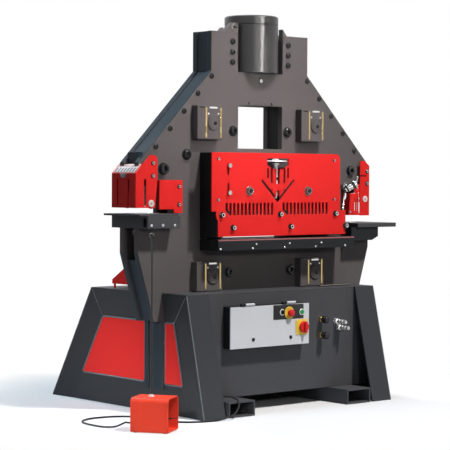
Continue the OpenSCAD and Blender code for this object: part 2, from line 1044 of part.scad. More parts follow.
module guard_cuts() {
  louvers(-1);
  louvers(1);
  for (side = [-1, 1]) {
    narrow_cut([0, vee_low], [side * vee_x, vee_high], vee_w);
    for (v = view_slots)
      round_slot(side * v[0], v[1], v[2], view_w);
    translate([side * guard_hole[0], guard_hole[1]])
      circle(r = guard_hole_r);
  }
  translate([-spindle_slot_w / 2, spindle_slot[0]])
    square([spindle_slot_w, spindle_slot[1] - spindle_slot[0] + cut]);
  round_slot(0, foot_slot[0], foot_slot[1], spindle_slot_w);
  polygon([
    [-wheel_cut_in, wheel_cut_low],
    [wheel_cut_in, wheel_cut_low],
    [wheel_cut_x, wheel_cut_mid],
    [wheel_cut_x, wheel_cut_high],
    [-wheel_cut_x, wheel_cut_high],
    [-wheel_cut_x, wheel_cut_mid]
  ]);
  round_slot(knob_x, knob_high - knob_travel, knob_high, knob_slot_w);
  round_slot(knob_x, knob_low, knob_low + knob_travel, knob_slot_w);
}

module shear_guard() {
  color(safety_red) on_frame()
    difference() {
      upright(guard_y, guard_t)
        difference() {
          guard_outline();
          translate([0, guard_z])
            guard_cuts();
        }
      bolt_holes(guard_y - cut, guard_t + 2 * cut);
    }
}

module gib_bolts() {
  color(black) on_frame()
    for (place = gib_bolts_at) {
      bar_y([place[0], guard_y, place[1]], gib_bolt_r, guard_t + gib_bolt_l - 2 * run);
      bar_y([place[0], guard_y - gib_flange_h, place[1]], gib_flange_r, gib_flange_h);
      difference() {
        bar_y([place[0], guard_y - gib_head_h, place[1]], gib_head_r, gib_head_h - gib_flange_h);
        bar_y([place[0], guard_y - gib_head_h - cut, place[1]], gib_bolt_r,
          gib_head_h / 2 + cut);
      }
    }
}

module shear_bed() {
  color(dark_grey) on_frame()
    difference() {
      block([-housing_in - housing_t, -bed_d, bed_z], [housing_in + housing_t + bed_out, 0, bed_top]);
      block([-drop_x, -blade_back, bed_z - cut], [drop_x, cut, bed_top + cut]);
      block([-blade_x - slip, -blade_back - blade_d - slip, bed_top - blade_h],
        [blade_x + slip, -blade_back + cut, bed_top + cut]);
    }
}

module lower_blade() {
  color(bright_steel) on_frame()
    block([-blade_x, -blade_back - blade_d, bed_top - blade_h], [blade_x, -blade_back, bed_top]);
}

// Blade carrier: a block, an arm and a lip for the blade
carrier_d = 100;
carrier_back = 5;
carrier_gap = 7;
carrier_over = 14;
carrier_z = bed_top + stroke + carrier_over;
lip_back = 20;
top_blade_h = 48;
top_blade_gap = 2;
carrier_half = housing_in - carrier_gap;

module blade_carrier() {
  color(dark_grey) on_frame() {
    block([-carrier_half, -carrier_d, carrier_z],
      [carrier_half, -carrier_back, base_h + carrier_high]);
    block([-blade_x + slip, -lip_back, guard_z + top_blade_gap],
      [blade_x - slip, -carrier_back, carrier_z]);
    block([-carrier_x, -carrier_back, base_h + carrier_low],
      [carrier_x, ram_y, base_h + carrier_high]);
  }
}

module upper_blade() {
  color(bright_steel) on_frame()
    block([-blade_x + slip, -blade_back + slip, guard_z + top_blade_gap],
      [blade_x - slip, -lip_back, guard_z + top_blade_gap + top_blade_h]);
}

angle_t = 10;
angle_w = 40;

module angle_blade() {
  color(bright_steel) on_frame()
    upright(-carrier_d - angle_t, angle_t)
      polygon([
        [0, guard_z + vee_low],
        [vee_x, guard_z + vee_high],
        [vee_x, guard_z + vee_high + angle_w],
        [0, guard_z + vee_low + angle_w],
        [-vee_x, guard_z + vee_high + angle_w],
        [-vee_x, guard_z + vee_high]
      ]);
}

// Hold-down: a handwheel on a spindle over a foot
wheel_rise = 388;
wheel_h = 14;
hub_r = 18;
hub_h = 30;
rim_w = 12;
web_h = 6;
spindle_low = 227;
foot_r = 12;
foot_tip_r = 7;
pad_h = 31;

module hold_down_wheel() {
  color(bright_steel) on_frame()
    translate([0, spindle_y, guard_z]) {
      translate([0, 0, spindle_low])
        cylinder(r = spindle_r, h = wheel_rise - spindle_low + hub_h / 2);
      translate([0, 0, wheel_rise])
        rotate_extrude($fn = 96)
          polygon([
            [0, -hub_h / 2],
            [hub_r, -hub_h / 2],
            [hub_r, -web_h / 2],
            [wheel_r - rim_w, -web_h / 2],
            [wheel_r - rim_w, -wheel_h / 2],
            [wheel_r, -wheel_h / 2],
            [wheel_r, wheel_h / 2],
            [wheel_r - rim_w, wheel_h / 2],
            [wheel_r - rim_w, web_h / 2],
            [hub_r, web_h / 2],
            [hub_r, hub_h / 2],
            [0, hub_h / 2]
          ]);
    }
}

module hold_down_foot() {
  color(dark_grey) on_frame()
    translate([0, spindle_y, guard_z + spindle_low - pad_h])
      cylinder(r1 = foot_tip_r, r2 = foot_r, h = pad_h);
}

// Stroke-stop knobs in the guard's two short slots
knob_r = 13;
knob_h = 18;
knob_gap = 0.3;
knob_shank_r = 4.5;
knob_nut_r = 11;
knob_nut_h = 5;

module stop_knob(rise) {
  place = [knob_x, guard_y, guard_z + rise];
  bar_y(place - [0, knob_h + knob_gap, 0], knob_r, knob_h);
  bar_y(place - [0, knob_gap, 0], knob_shank_r, guard_t + 2 * knob_gap);
  bar_y(place + [0, guard_t + knob_gap, 0], knob_nut_r, knob_nut_h);
}

module upper_stop_knob() {
  color(black) on_frame()
    stop_knob(knob_high);
}

module lower_stop_knob() {
  color(black) on_frame()
    stop_knob(knob_low);
}

// Left station

block_lead = 6;
block_front = (block_d - frame_t) / 2 + block_lead;
block_gap = 4;
notch_out = 10;
notch_x = -(half_frame - throat_d / 2 + notch_out);
notch_w = 60;
notch_d = 62;
die_w = 120;
die_d = 102;
die_proud = 2;
die_fit = 0.5;
notch_slug = 5;
notch_fit = 0.5;
end_slot_w = 34;
end_slot_h = 50;
end_slot_depth = 20;
end_slot_in = 26;

module left_die_block() {
  color(dark_grey) on_frame()
    difference() {
      block([-half_frame, -block_front, left_z],
        [-throat_x - block_gap, -block_front + block_d, left_z + left_block_h]);
      block([notch_x - notch_w / 2 - notch_slug, mid_y - notch_d / 2 - notch_slug, left_z - cut],
        [notch_x + notch_w / 2 + notch_slug, mid_y + notch_d / 2 + notch_slug,
          left_z + left_block_h + cut]);
      sideways(-half_frame - cut, end_slot_depth + cut)
        round_slot(-block_front + end_slot_in,
          left_z + left_block_h / 2 - (end_slot_h - end_slot_w) / 2,
          left_z + left_block_h / 2 + (end_slot_h - end_slot_w) / 2, end_slot_w);
    }
}

module left_table() {
  color(steel_grey) on_frame()
    difference() {
      block([-half_frame - left_reach, -block_front, left_top - left_table_t],
        [-half_frame - left_reach + left_table_w, -block_front + block_d, left_top]);
      block([notch_x - die_w / 2 - die_fit, mid_y - die_d / 2 - die_fit, left_z],
        [notch_x + die_w / 2 + die_fit, mid_y + die_d / 2 + die_fit, left_top + cut]);
    }
}

module notch_die() {
  color(bright_steel) on_frame()
    difference() {
      block([notch_x - die_w / 2, mid_y - die_d / 2, left_top - left_table_t],
        [notch_x + die_w / 2, mid_y + die_d / 2, left_top + die_proud]);
      block([notch_x - notch_w / 2, mid_y - notch_d / 2, left_z],
        [notch_x + notch_w / 2, mid_y + notch_d / 2, left_top + die_proud + cut]);
    }
}

// Clear height under the notch punch at rest
notch_open = 40;

module notch_punch() {
  color(bright_steel) on_frame()
    block([notch_x - notch_w / 2 + notch_fit, mid_y - notch_d / 2 + notch_fit, left_top + notch_open],
      [notch_x + notch_w / 2 - notch_fit, mid_y + notch_d / 2 - notch_fit, arm_z]);
}

// Guard box of the notcher: front and rear walls, an outer wall and a sloping roof
cover_t = 4;
cover_out = 34;
cover_front = 24;
cover_w = 138;
cover_low = 30;
cover_side_h = 175;
cover_top_h = 266;
cover_tip_r = 22;
cover_waist = 15;
cover_waist_h = 141;
cover_roof = 46;
cover_slot_w = 13;
cover_slot_low = 8;
cover_slot_h = 132;
cover_slot_x = 60;
cover_slot_y = [59, 151];
cover_screws = [109, 161, 226];
cover_boss_r = 11;
cap_ear_r = 27;
cap_place = [99, 22];
cover_x = -half_frame - cover_out;
cover_z = left_top + cover_low;
cover_d = frame_t + 2 * cover_front;
tip_h = cover_top_h - cover_tip_r;
cover_rise = cover_top_h - cover_side_h;

module cover_outline() {
  difference() {
    union() {
      polygon([
        [0, 0],
        [cover_w - cover_waist, 0],
        [cover_w, cover_waist_h],
        [cover_w, tip_h],
        [cover_rise - cover_tip_r, tip_h],
        [0, cover_side_h]
      ]);
      translate(cap_place)
        circle(r = cap_ear_r);
      translate([cover_w - cover_tip_r, tip_h])
        circle(r = cover_tip_r);
      polygon([
        [cover_rise - cover_tip_r, tip_h],
        [cover_w - cover_tip_r, tip_h],
        [cover_w - cover_tip_r, cover_top_h],
        [cover_rise, cover_top_h]
      ]);
    }
    round_slot(cover_slot_x, cover_slot_low + cover_slot_w / 2, cover_slot_low + cover_slot_h, cover_slot_w);
  }
}

module left_guard() {
  color(safety_red) on_frame()
    difference() {
      union() {
        front_and_rear() {
          upright(-cover_front, cover_t)
            translate([cover_x, cover_z])
              cover_outline();
          for (i = [1, 2])
            bar_y([cover_x + cover_screws[0], -cover_front, cover_z + cover_screws[i]],
              cover_boss_r, cover_front);
        }
        block([cover_x, -cover_front, cover_z],
          [cover_x + cover_t, frame_t + cover_front, cover_z + cover_side_h]);
        upright(-cover_front, cover_d)
          translate([cover_x, cover_z + cover_side_h])
            polygon([
              [0, 0],
              [cover_roof, cover_roof],
              [cover_roof + cover_t, cover_roof],
              [cover_t, 0]
            ]);
      }
      for (y = cover_slot_y)
        sideways(cover_x - cut, cover_t + 2 * cut)
          round_slot(y - cover_front, cover_z + cover_slot_low + cover_slot_w / 2,
            cover_z + cover_slot_low + cover_slot_h, cover_slot_w);
      front_and_rear()
        block([-half_frame - room, -room, cover_z + cover_side_h - cover_t],
          [-half_frame + cover_roof, plate_t + room, cover_z + cover_top_h]);
    }
}

// Shield beside the notcher's throat, on two bosses
shield_w = 150;
shield_x = -700;
shield_low = 3;
shield_step = 19;
shield_step_w = 94;
shield_h = 168;
shield_front = 27;
shield_screw = [127, 43, 135];
shield_flange = 18;
shield_z = left_top + shield_low;

module left_shield() {
  color(safety_red) on_frame() {
    upright(-shield_front, cover_t)
      translate([shield_x, shield_z])
        polygon([
          [0, shield_step],
          [shield_step_w, shield_step],
          [shield_step_w, 0],
          [shield_w, 0],
          [shield_w, shield_h],
          [0, shield_h]
        ]);
    block([shield_x, -shield_front, shield_z + shield_step],
      [shield_x + cover_t, -shield_front + shield_flange, shield_z + shield_h]);
    for (i = [1, 2])
      bar_y([shield_x + shield_screw[0], -shield_front, shield_z + shield_screw[i]],
        cover_boss_r, shield_front);
  }
}

// Right station

punch_in = 133;
punch_x = throat_x + punch_in;
die_r = 45;
die_ring_fit = 0.3;
die_ring_proud = 2;
punch_fit = 0.6;
slug_r = 25;
block_chamfer = [47, 21];
right_block_x = throat_x + block_gap;
table_lead = 9;
table_front = block_front + table_lead;

module right_die_block() {
  color(dark_grey) on_frame()
    difference() {
      upright(-block_front, block_d)
        polygon([
          [right_block_x, right_z],
          [half_frame - block_chamfer[0], right_z],
          [half_frame, right_z + block_chamfer[1]],
          [half_frame, right_z + right_block_h],
          [right_block_x, right_z + right_block_h]
        ]);
      translate([punch_x, mid_y, right_z - cut])
        cylinder(r = slug_r, h = right_block_h + 2 * cut);
    }
}

module right_table() {
  color(steel_grey) on_frame()
    difference() {
      block([half_frame + right_reach - right_table_w, -table_front, right_top - right_table_t],
        [half_frame + right_reach, -table_front + block_d, right_top]);
      translate([punch_x, mid_y, right_z])
        cylinder(r = die_r + die_ring_fit, h = right_block_h + right_table_t + cut);
    }
}

module punch_die() {
  color(bright_steel) on_frame()
    translate([punch_x, mid_y, right_top - right_table_t])
      difference() {
        cylinder(r = die_r, h = right_table_t + die_ring_proud);
        translate([0, 0, -cut])
          cylinder(r = punch_r + punch_fit, h = right_table_t + die_ring_proud + 2 * cut);
      }
}

// Coupling nut and punch
nut_r = 40;
nut_h = 85;
nut_lip = 8;
punch_open = 53;

module punch_nut() {
  color(dark_grey) on_frame()
    translate([punch_x, mid_y, arm_z - nut_h])
      rotate_extrude()
        polygon([
          [0, 0],
          [nut_r - nut_lip, 0],
          [nut_r, nut_lip],
          [nut_r, nut_h],
          [0, nut_h]
        ]);
}

module punch() {
  color(bright_steel) on_frame()
    translate([punch_x, mid_y, right_top + punch_open])
      cylinder(r = punch_r, h = arm_z - nut_h - right_top - punch_open);
}

// Right guard: a plate on bosses, with a slit, and a wider plate behind the throat
rguard_x = 727;
rguard_w = 73;
rguard_low = 41;
rguard_h = 305;
rguard_chamfer = [35, 27];
rguard_slit = [218, 8, 47];
rguard_screw = [54, 180, 247];
rguard_back = 610;
rguard_z = right_top + rguard_low;

module right_guard() {
  color(safety_red) on_frame() {
    upright(-cover_front, cover_t)
      translate([rguard_x, rguard_z])
        difference() {
          polygon([
            [0, 0],
            [rguard_w, 0],
            [rguard_w, rguard_h - rguard_chamfer[1]],
            [rguard_w - rguard_chamfer[0], rguard_h],
            [0, rguard_h]
          ]);
          translate([-cut, rguard_slit[0]])
            square([rguard_slit[2] + cut, rguard_slit[1]]);
        }
    block([rguard_back, frame_t + cover_front - cover_t, rguard_z],
      [rguard_x + rguard_w, frame_t + cover_front, rguard_z + rguard_h - rguard_chamfer[1]]);
    front_and_rear()
      for (i = [1, 2])
        bar_y([rguard_x + rguard_screw[0], -cover_front, rguard_z + rguard_screw[i]],
          cover_boss_r, cover_front);
  }
}

// Stripper: a plate, a gusset against the upright and a forked tongue round the punch
strip_back = 12;
strip_x = throat_x - strip_back;
strip_w = 72;
strip_out = 79;
strip_low = 45;
strip_h = 121;
strip_t = 12;
strip_corner = [40, 32];
strip_slots = [44, 63];
strip_slot_w = 7;
strip_slot_low = 28;
strip_slot_high = 88;
strip_reach = 125;
tongue_in = 8;
tongue_x = 180;
tongue_d = 118;
fork_slot = 40;
strip_z = right_top + strip_low;

module stripper() {
  color(safety_red) on_frame() {
    upright(-strip_out, cover_t)
      translate([strip_x, strip_z])
        difference() {
          polygon([
            [strip_corner[0], 0],
            [strip_w, 0],
            [strip_w, strip_h],
            [0, strip_h],
            [0, strip_corner[1]]
          ]);
          for (x = strip_slots)
            round_slot(x, strip_slot_low, strip_slot_high, strip_slot_w);
        }
    sideways(strip_x, cover_t)
      polygon([
        [-strip_out, strip_z + strip_corner[1]],
        [-strip_out + strip_t, strip_z],
        [0, strip_z],
        [0, strip_z + strip_t],
        [-strip_out + strip_t, strip_z + strip_h],
        [-strip_out, strip_z + strip_h]
      ]);
    difference() {
      union() {
        block([strip_x, -strip_out + cover_t, strip_z],
          [strip_x + strip_reach, -room, strip_z + strip_t]);
        block([strip_x + strip_t + tongue_in, -strip_out + cover_t, strip_z],
          [strip_x + strip_reach, tongue_d, strip_z + strip_t]);
        block([strip_x + strip_t + tongue_in, room, strip_z],
          [strip_x + tongue_x, tongue_d, strip_z + strip_t]);
      }
      translate([punch_x, mid_y, strip_z - cut])
        cylinder(d = fork_slot, h = strip_t + 2 * cut);
      block([punch_x, mid_y - fork_slot / 2, strip_z - cut],
        [strip_x + tongue_x + cut, mid_y + fork_slot / 2, strip_z + strip_t + cut]);
    }
  }
}

// Adjusting rod of the stripper
srod_x = 80;
srod_y = 66;
srod_r = 4.5;
srod_h = 113;
srod_nut_r = 9;
srod_nut_h = 9;
srod_nut_z = 76;

module stripper_rod() {
  color(bright_steel) on_frame()
    translate([strip_x + srod_x, -srod_y, strip_z + strip_t]) {
      cylinder(r = srod_r, h = srod_h);
      cylinder(r = srod_nut_r, h = srod_nut_h, $fn = 6);
      translate([0, 0, srod_nut_z])
        cylinder(r = srod_nut_r, h = srod_nut_h, $fn = 6);
    }
}

// Latch beside the shear: a post, a tilted clamp barrel and a lever on the post
latch_x = 560;
latch_rise = 543;
post_r = 12;
post_l = 112;
clamp_r = 18;
clamp_l = 74;
clamp_tilt = 58;
clamp_turn = -32;
clamp_y = -122;
clamp_flange_r = 31;
clamp_flange_t = 6;
clamp_flange_at = 20;
clamp_pin_r = 4.5;
clamp_pin_l = 58;
ball_r = 13;
ball_up = 12;
lever_y = -86;
lever_t = 9;
lever_eye_r = 22;
lever_r = 4;
lever_l = 143;
lever_turn = 26;
lever_tip_r = 6;
lever_tip_l = 22;
latch_z = base_h + latch_rise;

module latch_body() {
  color(bright_steel) on_frame()
    translate([latch_x, 0, latch_z]) {
      bar_y([0, -post_l, 0], post_r, post_l);
      translate([0, clamp_y, 0])
        rotate([0, clamp_tilt, clamp_turn]) {
          translate([0, 0, -clamp_l / 2])
            cylinder(r = clamp_r, h = clamp_l);
          translate([0, 0, clamp_flange_at])
            cylinder(r = clamp_flange_r, h = clamp_flange_t);
          translate([0, 0, -clamp_l / 2])
            sphere(r = ball_r);
          translate([0, 0, clamp_l / 2 - clamp_pin_r])
            rotate([0, -clamp_tilt, 0])
              cylinder(r = clamp_pin_r, h = clamp_pin_l / 2 + ball_up);
        }
    }
}

module latch_lever() {
  color(bright_steel) on_frame()
    translate([latch_x, 0, latch_z])
      difference() {
        union() {
          bar_y([0, lever_y, 0], lever_eye_r, lever_t);
          rotate([0, 180 + lever_turn, 0])
            translate([0, lever_y + lever_t / 2, 0]) {
              cylinder(r = lever_r, h = lever_l);
              translate([0, 0, lever_l - lever_tip_l])
                cylinder(r = lever_tip_r, h = lever_tip_l);
            }
        }
        bar_y([0, lever_y - cut, 0], post_r + pin_fit, lever_t + 2 * cut);
      }
}

// Controls

box_wall = 3;
box_y = front_sheet_y - box_out;
door_t = 5;
door_gap = 0.5;
hinge_r = 6;
hinge_pin_r = 3;
hinge_l = 60;
hinge_in = 70;
hinge_up = 3;
flange_h = 14;
hinge_y = box_y - hinge_r;
hinge_z = box_z + box_h + hinge_r + hinge_up;
hinge_leaf = 4;
door_y = box_y - door_gap - door_t;

// Middle of each hinge along the door
hinge_at = [box_x + hinge_in + hinge_l, box_right - hinge_in - hinge_l];

module control_box() {
  color(dark_grey) on_frame() {
    difference() {
      block([box_x, box_y, box_z], [box_right, box_y + box_d, box_z + box_h]);
      block([box_x + box_wall, box_y + box_wall, box_z + box_wall],
        [box_right - box_wall, box_y + box_d - box_wall, box_z + box_h - box_wall]);
      block([box_x + flange_h, box_y - cut, box_z + flange_h],
        [box_right - flange_h, box_y + box_wall + cut, box_z + box_h - flange_h]);
    }
    for (x = hinge_at) {
      translate([x - hinge_l - slip, hinge_y, hinge_z])
        rotate([0, 90, 0]) {
          cylinder(r = hinge_r, h = hinge_l / 2);
          cylinder(r = hinge_pin_r, h = hinge_l * 3 / 2);
        }
      block([x - hinge_l - slip, hinge_y, box_z + box_h], [x - hinge_l / 2 - slip, box_y + hinge_leaf,
        hinge_z]);
    }
  }
}

// Places on the door, in from its upper right corner; latches, from the lower corners
stop_in = [142, 46];
start_in = [53, 45];
select_in = [191, 41];
isolator_in = [42, 125];
latch_in = [[155, 42], [130, 40]];
door_corner = [box_w, box_h];
stop_at = door_corner - stop_in;
start_at = door_corner - start_in;
select_at = door_corner - select_in;
isolator_at = door_corner - isolator_in;
latch_at = [latch_in[0], [box_w - latch_in[1][0], latch_in[1][1]]];
button_r = 11;
stop_r = 20;
stop_out = 30;
stop_cap = 14;
start_out = 9;
start_cap_r = 13;
start_travel = 4;
select_out = 12;
select_w = 7;
isolator_r = 30;
isolator_out = 14;
isolator_grip = 14;
isolator_grip_w = 16;
stem_l = door_t + slip;
collar_r = 16;
collar_t = 4;
latch_head_r = 14;
latch_head_h = 3;
cam_w = 14;
cam_t = 4;
cam_l = 24;
cam_gap = 1;
cam_stem_r = 6;
cam_y = door_t + door_gap + box_wall + cam_gap;
disc_gap = 3;

// Row of holes in the door
module door_hole(place, r) {
  bar_y([box_x + place[0], box_y - door_t - cut, box_z + place[1]], r, door_t + 2 * cut);
}

module control_door() {
  color(box_grey) on_frame()
    difference() {
      union() {
        block([box_x, door_y, box_z],
          [box_right, box_y - door_gap, box_z + box_h - door_gap]);
        for (x = hinge_at) {
          translate([x - hinge_l / 2, hinge_y, hinge_z])
            rotate([0, 90, 0])
              cylinder(r = hinge_r, h = hinge_l);
          block([x - hinge_l / 2, door_y, box_z + box_h - hinge_r],
            [x + hinge_l / 2, box_y - door_gap, hinge_z]);
        }
      }
      for (x = hinge_at)
        translate([x - hinge_l, hinge_y, hinge_z])
          rotate([0, 90, 0])
            cylinder(r = hinge_pin_r + pin_fit, h = 2 * hinge_l);
      door_hole(stop_at, button_r + run);
      door_hole(start_at, button_r + run);
      door_hole(select_at, button_r + run);
      door_hole(isolator_at, button_r + run);
      for (place = latch_at)
        door_hole(place, cam_stem_r + run);
    }
}

// A place on the door's face
module on_door(place) {
  translate([box_x + place[0], door_y, box_z + place[1]])
    children();
}

// A push button: a stem through the door, a cap in front and a stop collar behind
module push_button(place, cap_r, cap_t, out) {
  on_door(place) {
    bar_y([0, -out, 0], button_r, out + stem_l);
    bar_y([0, -out - cap_t, 0], cap_r, cap_t);
    bar_y([0, stem_l, 0], collar_r, collar_t);
  }
}

module stop_button() {
  color("red") on_frame()
    push_button(stop_at, stop_r, stop_cap, stop_out - stop_cap);
}

module start_button() {
  color("green") on_frame()
    push_button(start_at, start_cap_r, start_out - start_travel - slip, start_travel + slip);
}

module selector_knob() {
  color(black) on_frame()
    on_door(select_at) {
      bar_y([0, -select_out / 2, 0], button_r, select_out / 2 + stem_l);
      bar_y([0, stem_l, 0], collar_r, collar_t);
      block([-select_w / 2, -select_out * 3 / 2, -button_r], [select_w / 2, -select_out / 2, button_r]);
    }
}

module isolator_knob() {
  color("red") on_frame()
    on_door(isolator_at) {
      bar_y([0, -disc_gap, 0], button_r, disc_gap + stem_l);
      bar_y([0, -isolator_out - disc_gap, 0], isolator_r, isolator_out);
      bar_y([0, stem_l, 0], collar_r, collar_t);
      block([-isolator_grip_w / 2, -isolator_out - disc_gap - isolator_grip, -isolator_r],
        [isolator_grip_w / 2, -isolator_out - disc_gap, isolator_r]);
    }
}

// A quarter-turn latch whose cam lies behind the box's front flange
module door_latch(place) {
  on_door(place) {
    bar_y([0, -latch_head_h, 0], latch_head_r, latch_head_h);
    bar_y([0, 0, 0], cam_stem_r, cam_y + cam_t);
    block([-cam_w / 2, cam_y, -cam_l],
      [cam_w / 2, cam_y + cam_t, cam_stem_r]);
  }
}

module left_door_latch() {
  color(bright_steel) on_frame()
    door_latch(latch_at[0]);
}

module right_door_latch() {
  color(bright_steel) on_frame()
    door_latch(latch_at[1]);
}

// Strain relief of the cord: a collar and a cone down to the cord
gland_r = 11;
gland_l = 24;
gland_lip = 1.5;

module gland() {
  cylinder(r = gland_r, h = gland_l / 2);
  translate([0, 0, gland_l / 2])
    cylinder(r1 = gland_r, r2 = cord_d / 2 + gland_lip, h = gland_l / 2);
}

// A coupler: a nut against the front sheet, a body and a stem through it
module coupler(place, r, length) {
  translate([place[0], front_sheet_y, place[1]]) {
    bar_y([0, -coupler_nut_l, 0], coupler_nut_r, coupler_nut_l);
    bar_y([0, -coupler_nut_l - length, 0], r, length);
    bar_y([0, 0, 0], coupler_r, sheet_t + coupler_nut_l);
  }
}

module front_fittings() {
  color(bright_steel) on_frame() {
    for (place = coupler_places)
      coupler(place, coupler_r, coupler_l);
    for (place = capped_places)
      coupler(place, capped_r, capped_l);
    translate([entry_x, front_sheet_y, entry_z])
      rotate([90, 0, 0])
        gland();
  }
}

// Foot switch, standing on the floor at the front left

foot_at = [-1044, -752];
foot_turn = 34;
foot_corner = 22;
treadle_t = 8;
treadle_gap = 4;
treadle_l = 120;
treadle_rise = 34;
treadle_tilt = 10;
hinge_back = 40;
pedal_pin_r = 5;
carry_r = 4.5;
carry_ball_r = 13;
carry_back = 15;
carry_seat = 14;
carry_seat_h = 10;
gland_z = 34;

module at_foot() {
  translate([foot_at[0], foot_at[1], 0])
    rotate([0, 0, foot_turn])
      children();
}

// Cross-section of the hood, drawn in by d
module hood_outline(d) {
  translate([-foot_w / 2 + d, d])
    square([foot_w - 2 * d, foot_h - foot_corner - d]);
  translate([-foot_w / 2 + foot_corner, d])
    square([foot_w - 2 * foot_corner, foot_h - 2 * d]);
  for (side = [-1, 1])
    translate([side * (foot_w / 2 - foot_corner), foot_h - foot_corner])
      circle(r = foot_corner - d);
}

module foot_switch() {
  color(pedal_red) at_foot() {
    difference() {
      upright(-foot_l / 2, foot_l)
        hood_outline(0);
      upright(-foot_l / 2 - cut, foot_l - foot_wall + cut)
        hood_outline(foot_wall);
      translate([-foot_w, foot_l / 2 - hinge_back, treadle_rise])
        rotate([0, 90, 0])
          cylinder(r = pedal_pin_r, h = 2 * foot_w);
    }
    translate([-foot_w / 2 + foot_wall / 2, foot_l / 2 - hinge_back, treadle_rise])
      rotate([0, 90, 0])
        cylinder(r = pedal_pin_r, h = foot_w - foot_wall);
    translate([0, foot_l / 2, gland_z])
      rotate([-90, 0, 0])
        gland();
    translate([0, carry_back, foot_h])
      cylinder(r = carry_seat, h = carry_seat_h);
  }
}

module foot_treadle() {
  color(black) at_foot()
    translate([0, foot_l / 2 - hinge_back, treadle_rise])
      rotate([-treadle_tilt, 0, 0])
        difference() {
          union() {
            block([-foot_w / 2 + foot_wall + treadle_gap, -treadle_l, -treadle_t / 2],
              [foot_w / 2 - foot_wall - treadle_gap, 0, treadle_t / 2]);
            translate([-foot_w / 2 + foot_wall + treadle_gap, 0, 0])
              rotate([0, 90, 0])
                cylinder(r = pedal_pin_r + treadle_t / 2,
                  h = foot_w - 2 * foot_wall - 2 * treadle_gap);
          }
          translate([-foot_w, 0, 0])
            rotate([0, 90, 0])
              cylinder(r = pedal_pin_r + pin_fit, h = 2 * foot_w);
        }
}

module carry_rod() {
  color(black) at_foot()
    translate([0, carry_back, foot_h + carry_seat_h]) {
      cylinder(r = carry_r, h = carry_h);
      translate([0, 0, carry_h])
        sphere(r = carry_ball_r);
    }
}

// Cord along the floor, from the switch's gland to the gland on the front sheet; the points between
// were chosen by hand
lead = 28;
function foot_end(d) = [
  foot_at[0] - sin(foot_turn) * (foot_l / 2 + gland_l + d),
  foot_at[1] + cos(foot_turn) * (foot_l / 2 + gland_l + d),
  gland_z
];
function entry_end(d) = [entry_x, frame_y + front_sheet_y - gland_l - d, entry_z];
cord_middle = [
  [-1150, -585, 12], [-1172, -520, 5], [-1180, -440, 5], [-1172, -360, 5], [-1139, -300, 5],
  [-1075, -262, 5], [-1003, -256, 5], [-925, -275, 5], [-862, -325, 5], [-830, -410, 5],
  [-822, -510, 5], [-802, -600, 5], [-752, -660, 5], [-675, -690, 5], [-590, -702, 7],
  [-510, -706, 24], [-462, -690, 60], [-445, -662, 88], [-458, -630, 102], [-490, -606, 109],
  [-528, -588, 112]
];
cord_route = concat(
  [foot_end(0), foot_end(lead / 2), foot_end(lead)],
  cord_middle,
  [entry_end(lead), entry_end(lead / 2), entry_end(0)]
);
cord_sides = 10;
cord_steps = 3;

// Smooth curve through the route
function route_at(i) = cord_route[max(0, min(len(cord_route) - 1, i))];
function curve(i, t) =
  let (a = route_at(i - 1), b = route_at(i), c = route_at(i + 1), d = route_at(i + 2))
  (2 * b + (c - a) * t + (2 * a - 5 * b + 4 * c - d) * t * t + (3 * b - a - 3 * c + d) * t * t * t) / 2;
cord_points = concat(
  [for (i = [0 : len(cord_route) - 2], k = [0 : cord_steps - 1]) curve(i, k / cord_steps)],
  [cord_route[len(cord_route) - 1]]
);
function unit(v) = v / norm(v);
function along(i) = unit(
  cord_points[min(len(cord_points) - 1, i + 1)] - cord_points[max(0, i - 1)]
);
function ring(i) =
  let (dir = along(i), side = unit(cross(dir, [0, 0, 1])), up = cross(side, dir))
  [for (k = [0 : cord_sides - 1])
    cord_points[i] + cord_d / 2 * (side * cos(360 * k / cord_sides) + up * sin(360 * k / cord_sides))];

module foot_cord() {
  rings = len(cord_points);
  points = [for (i = [0 : rings - 1], p = ring(i)) p];
  faces = concat(
    [[for (k = [0 : cord_sides - 1]) k]],
    [for (i = [0 : rings - 2], k = [0 : cord_sides - 1])
      [i * cord_sides + k, (i + 1) * cord_sides + k,
        (i + 1) * cord_sides + (k + 1) % cord_sides, i * cord_sides + (k + 1) % cord_sides]],
    [[for (k = [cord_sides - 1 : -1 : 0]) (rings - 1) * cord_sides + k]]
  );
  color(black)
    polyhedron(points = points, faces = faces);
}

base_left_end();
base_right_end();
base_front_sheet();
base_rear_sheet();
base_top();
fork_tubes();
end_panels();
power_unit();
rear_chute();
front_plate();
rear_plate();
edge_spacers();
frame_bolts();
guide_blocks();
brass_gibs();
cylinder_barrel();
cylinder_cap();
piston_rod();
ram_plate();
shear_housing();
shear_guard();
gib_bolts();
shear_bed();
lower_blade();
blade_carrier();
upper_blade();
angle_blade();
hold_down_wheel();
hold_down_foot();
upper_stop_knob();
lower_stop_knob();
left_die_block();
left_table();
notch_die();
notch_punch();
left_guard();
left_shield();
right_die_block();
right_table();
punch_die();
punch_nut();
punch();
right_guard();
stripper();
stripper_rod();
latch_body();
latch_lever();
control_box();
control_door();
stop_button();
start_button();
selector_knob();
isolator_knob();
left_door_latch();
right_door_latch();
front_fittings();
foot_switch();
foot_treadle();
carry_rod();
foot_cord();
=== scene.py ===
import bpy
import bmesh
import json
import math
import numpy as np
from mathutils import Matrix, Vector


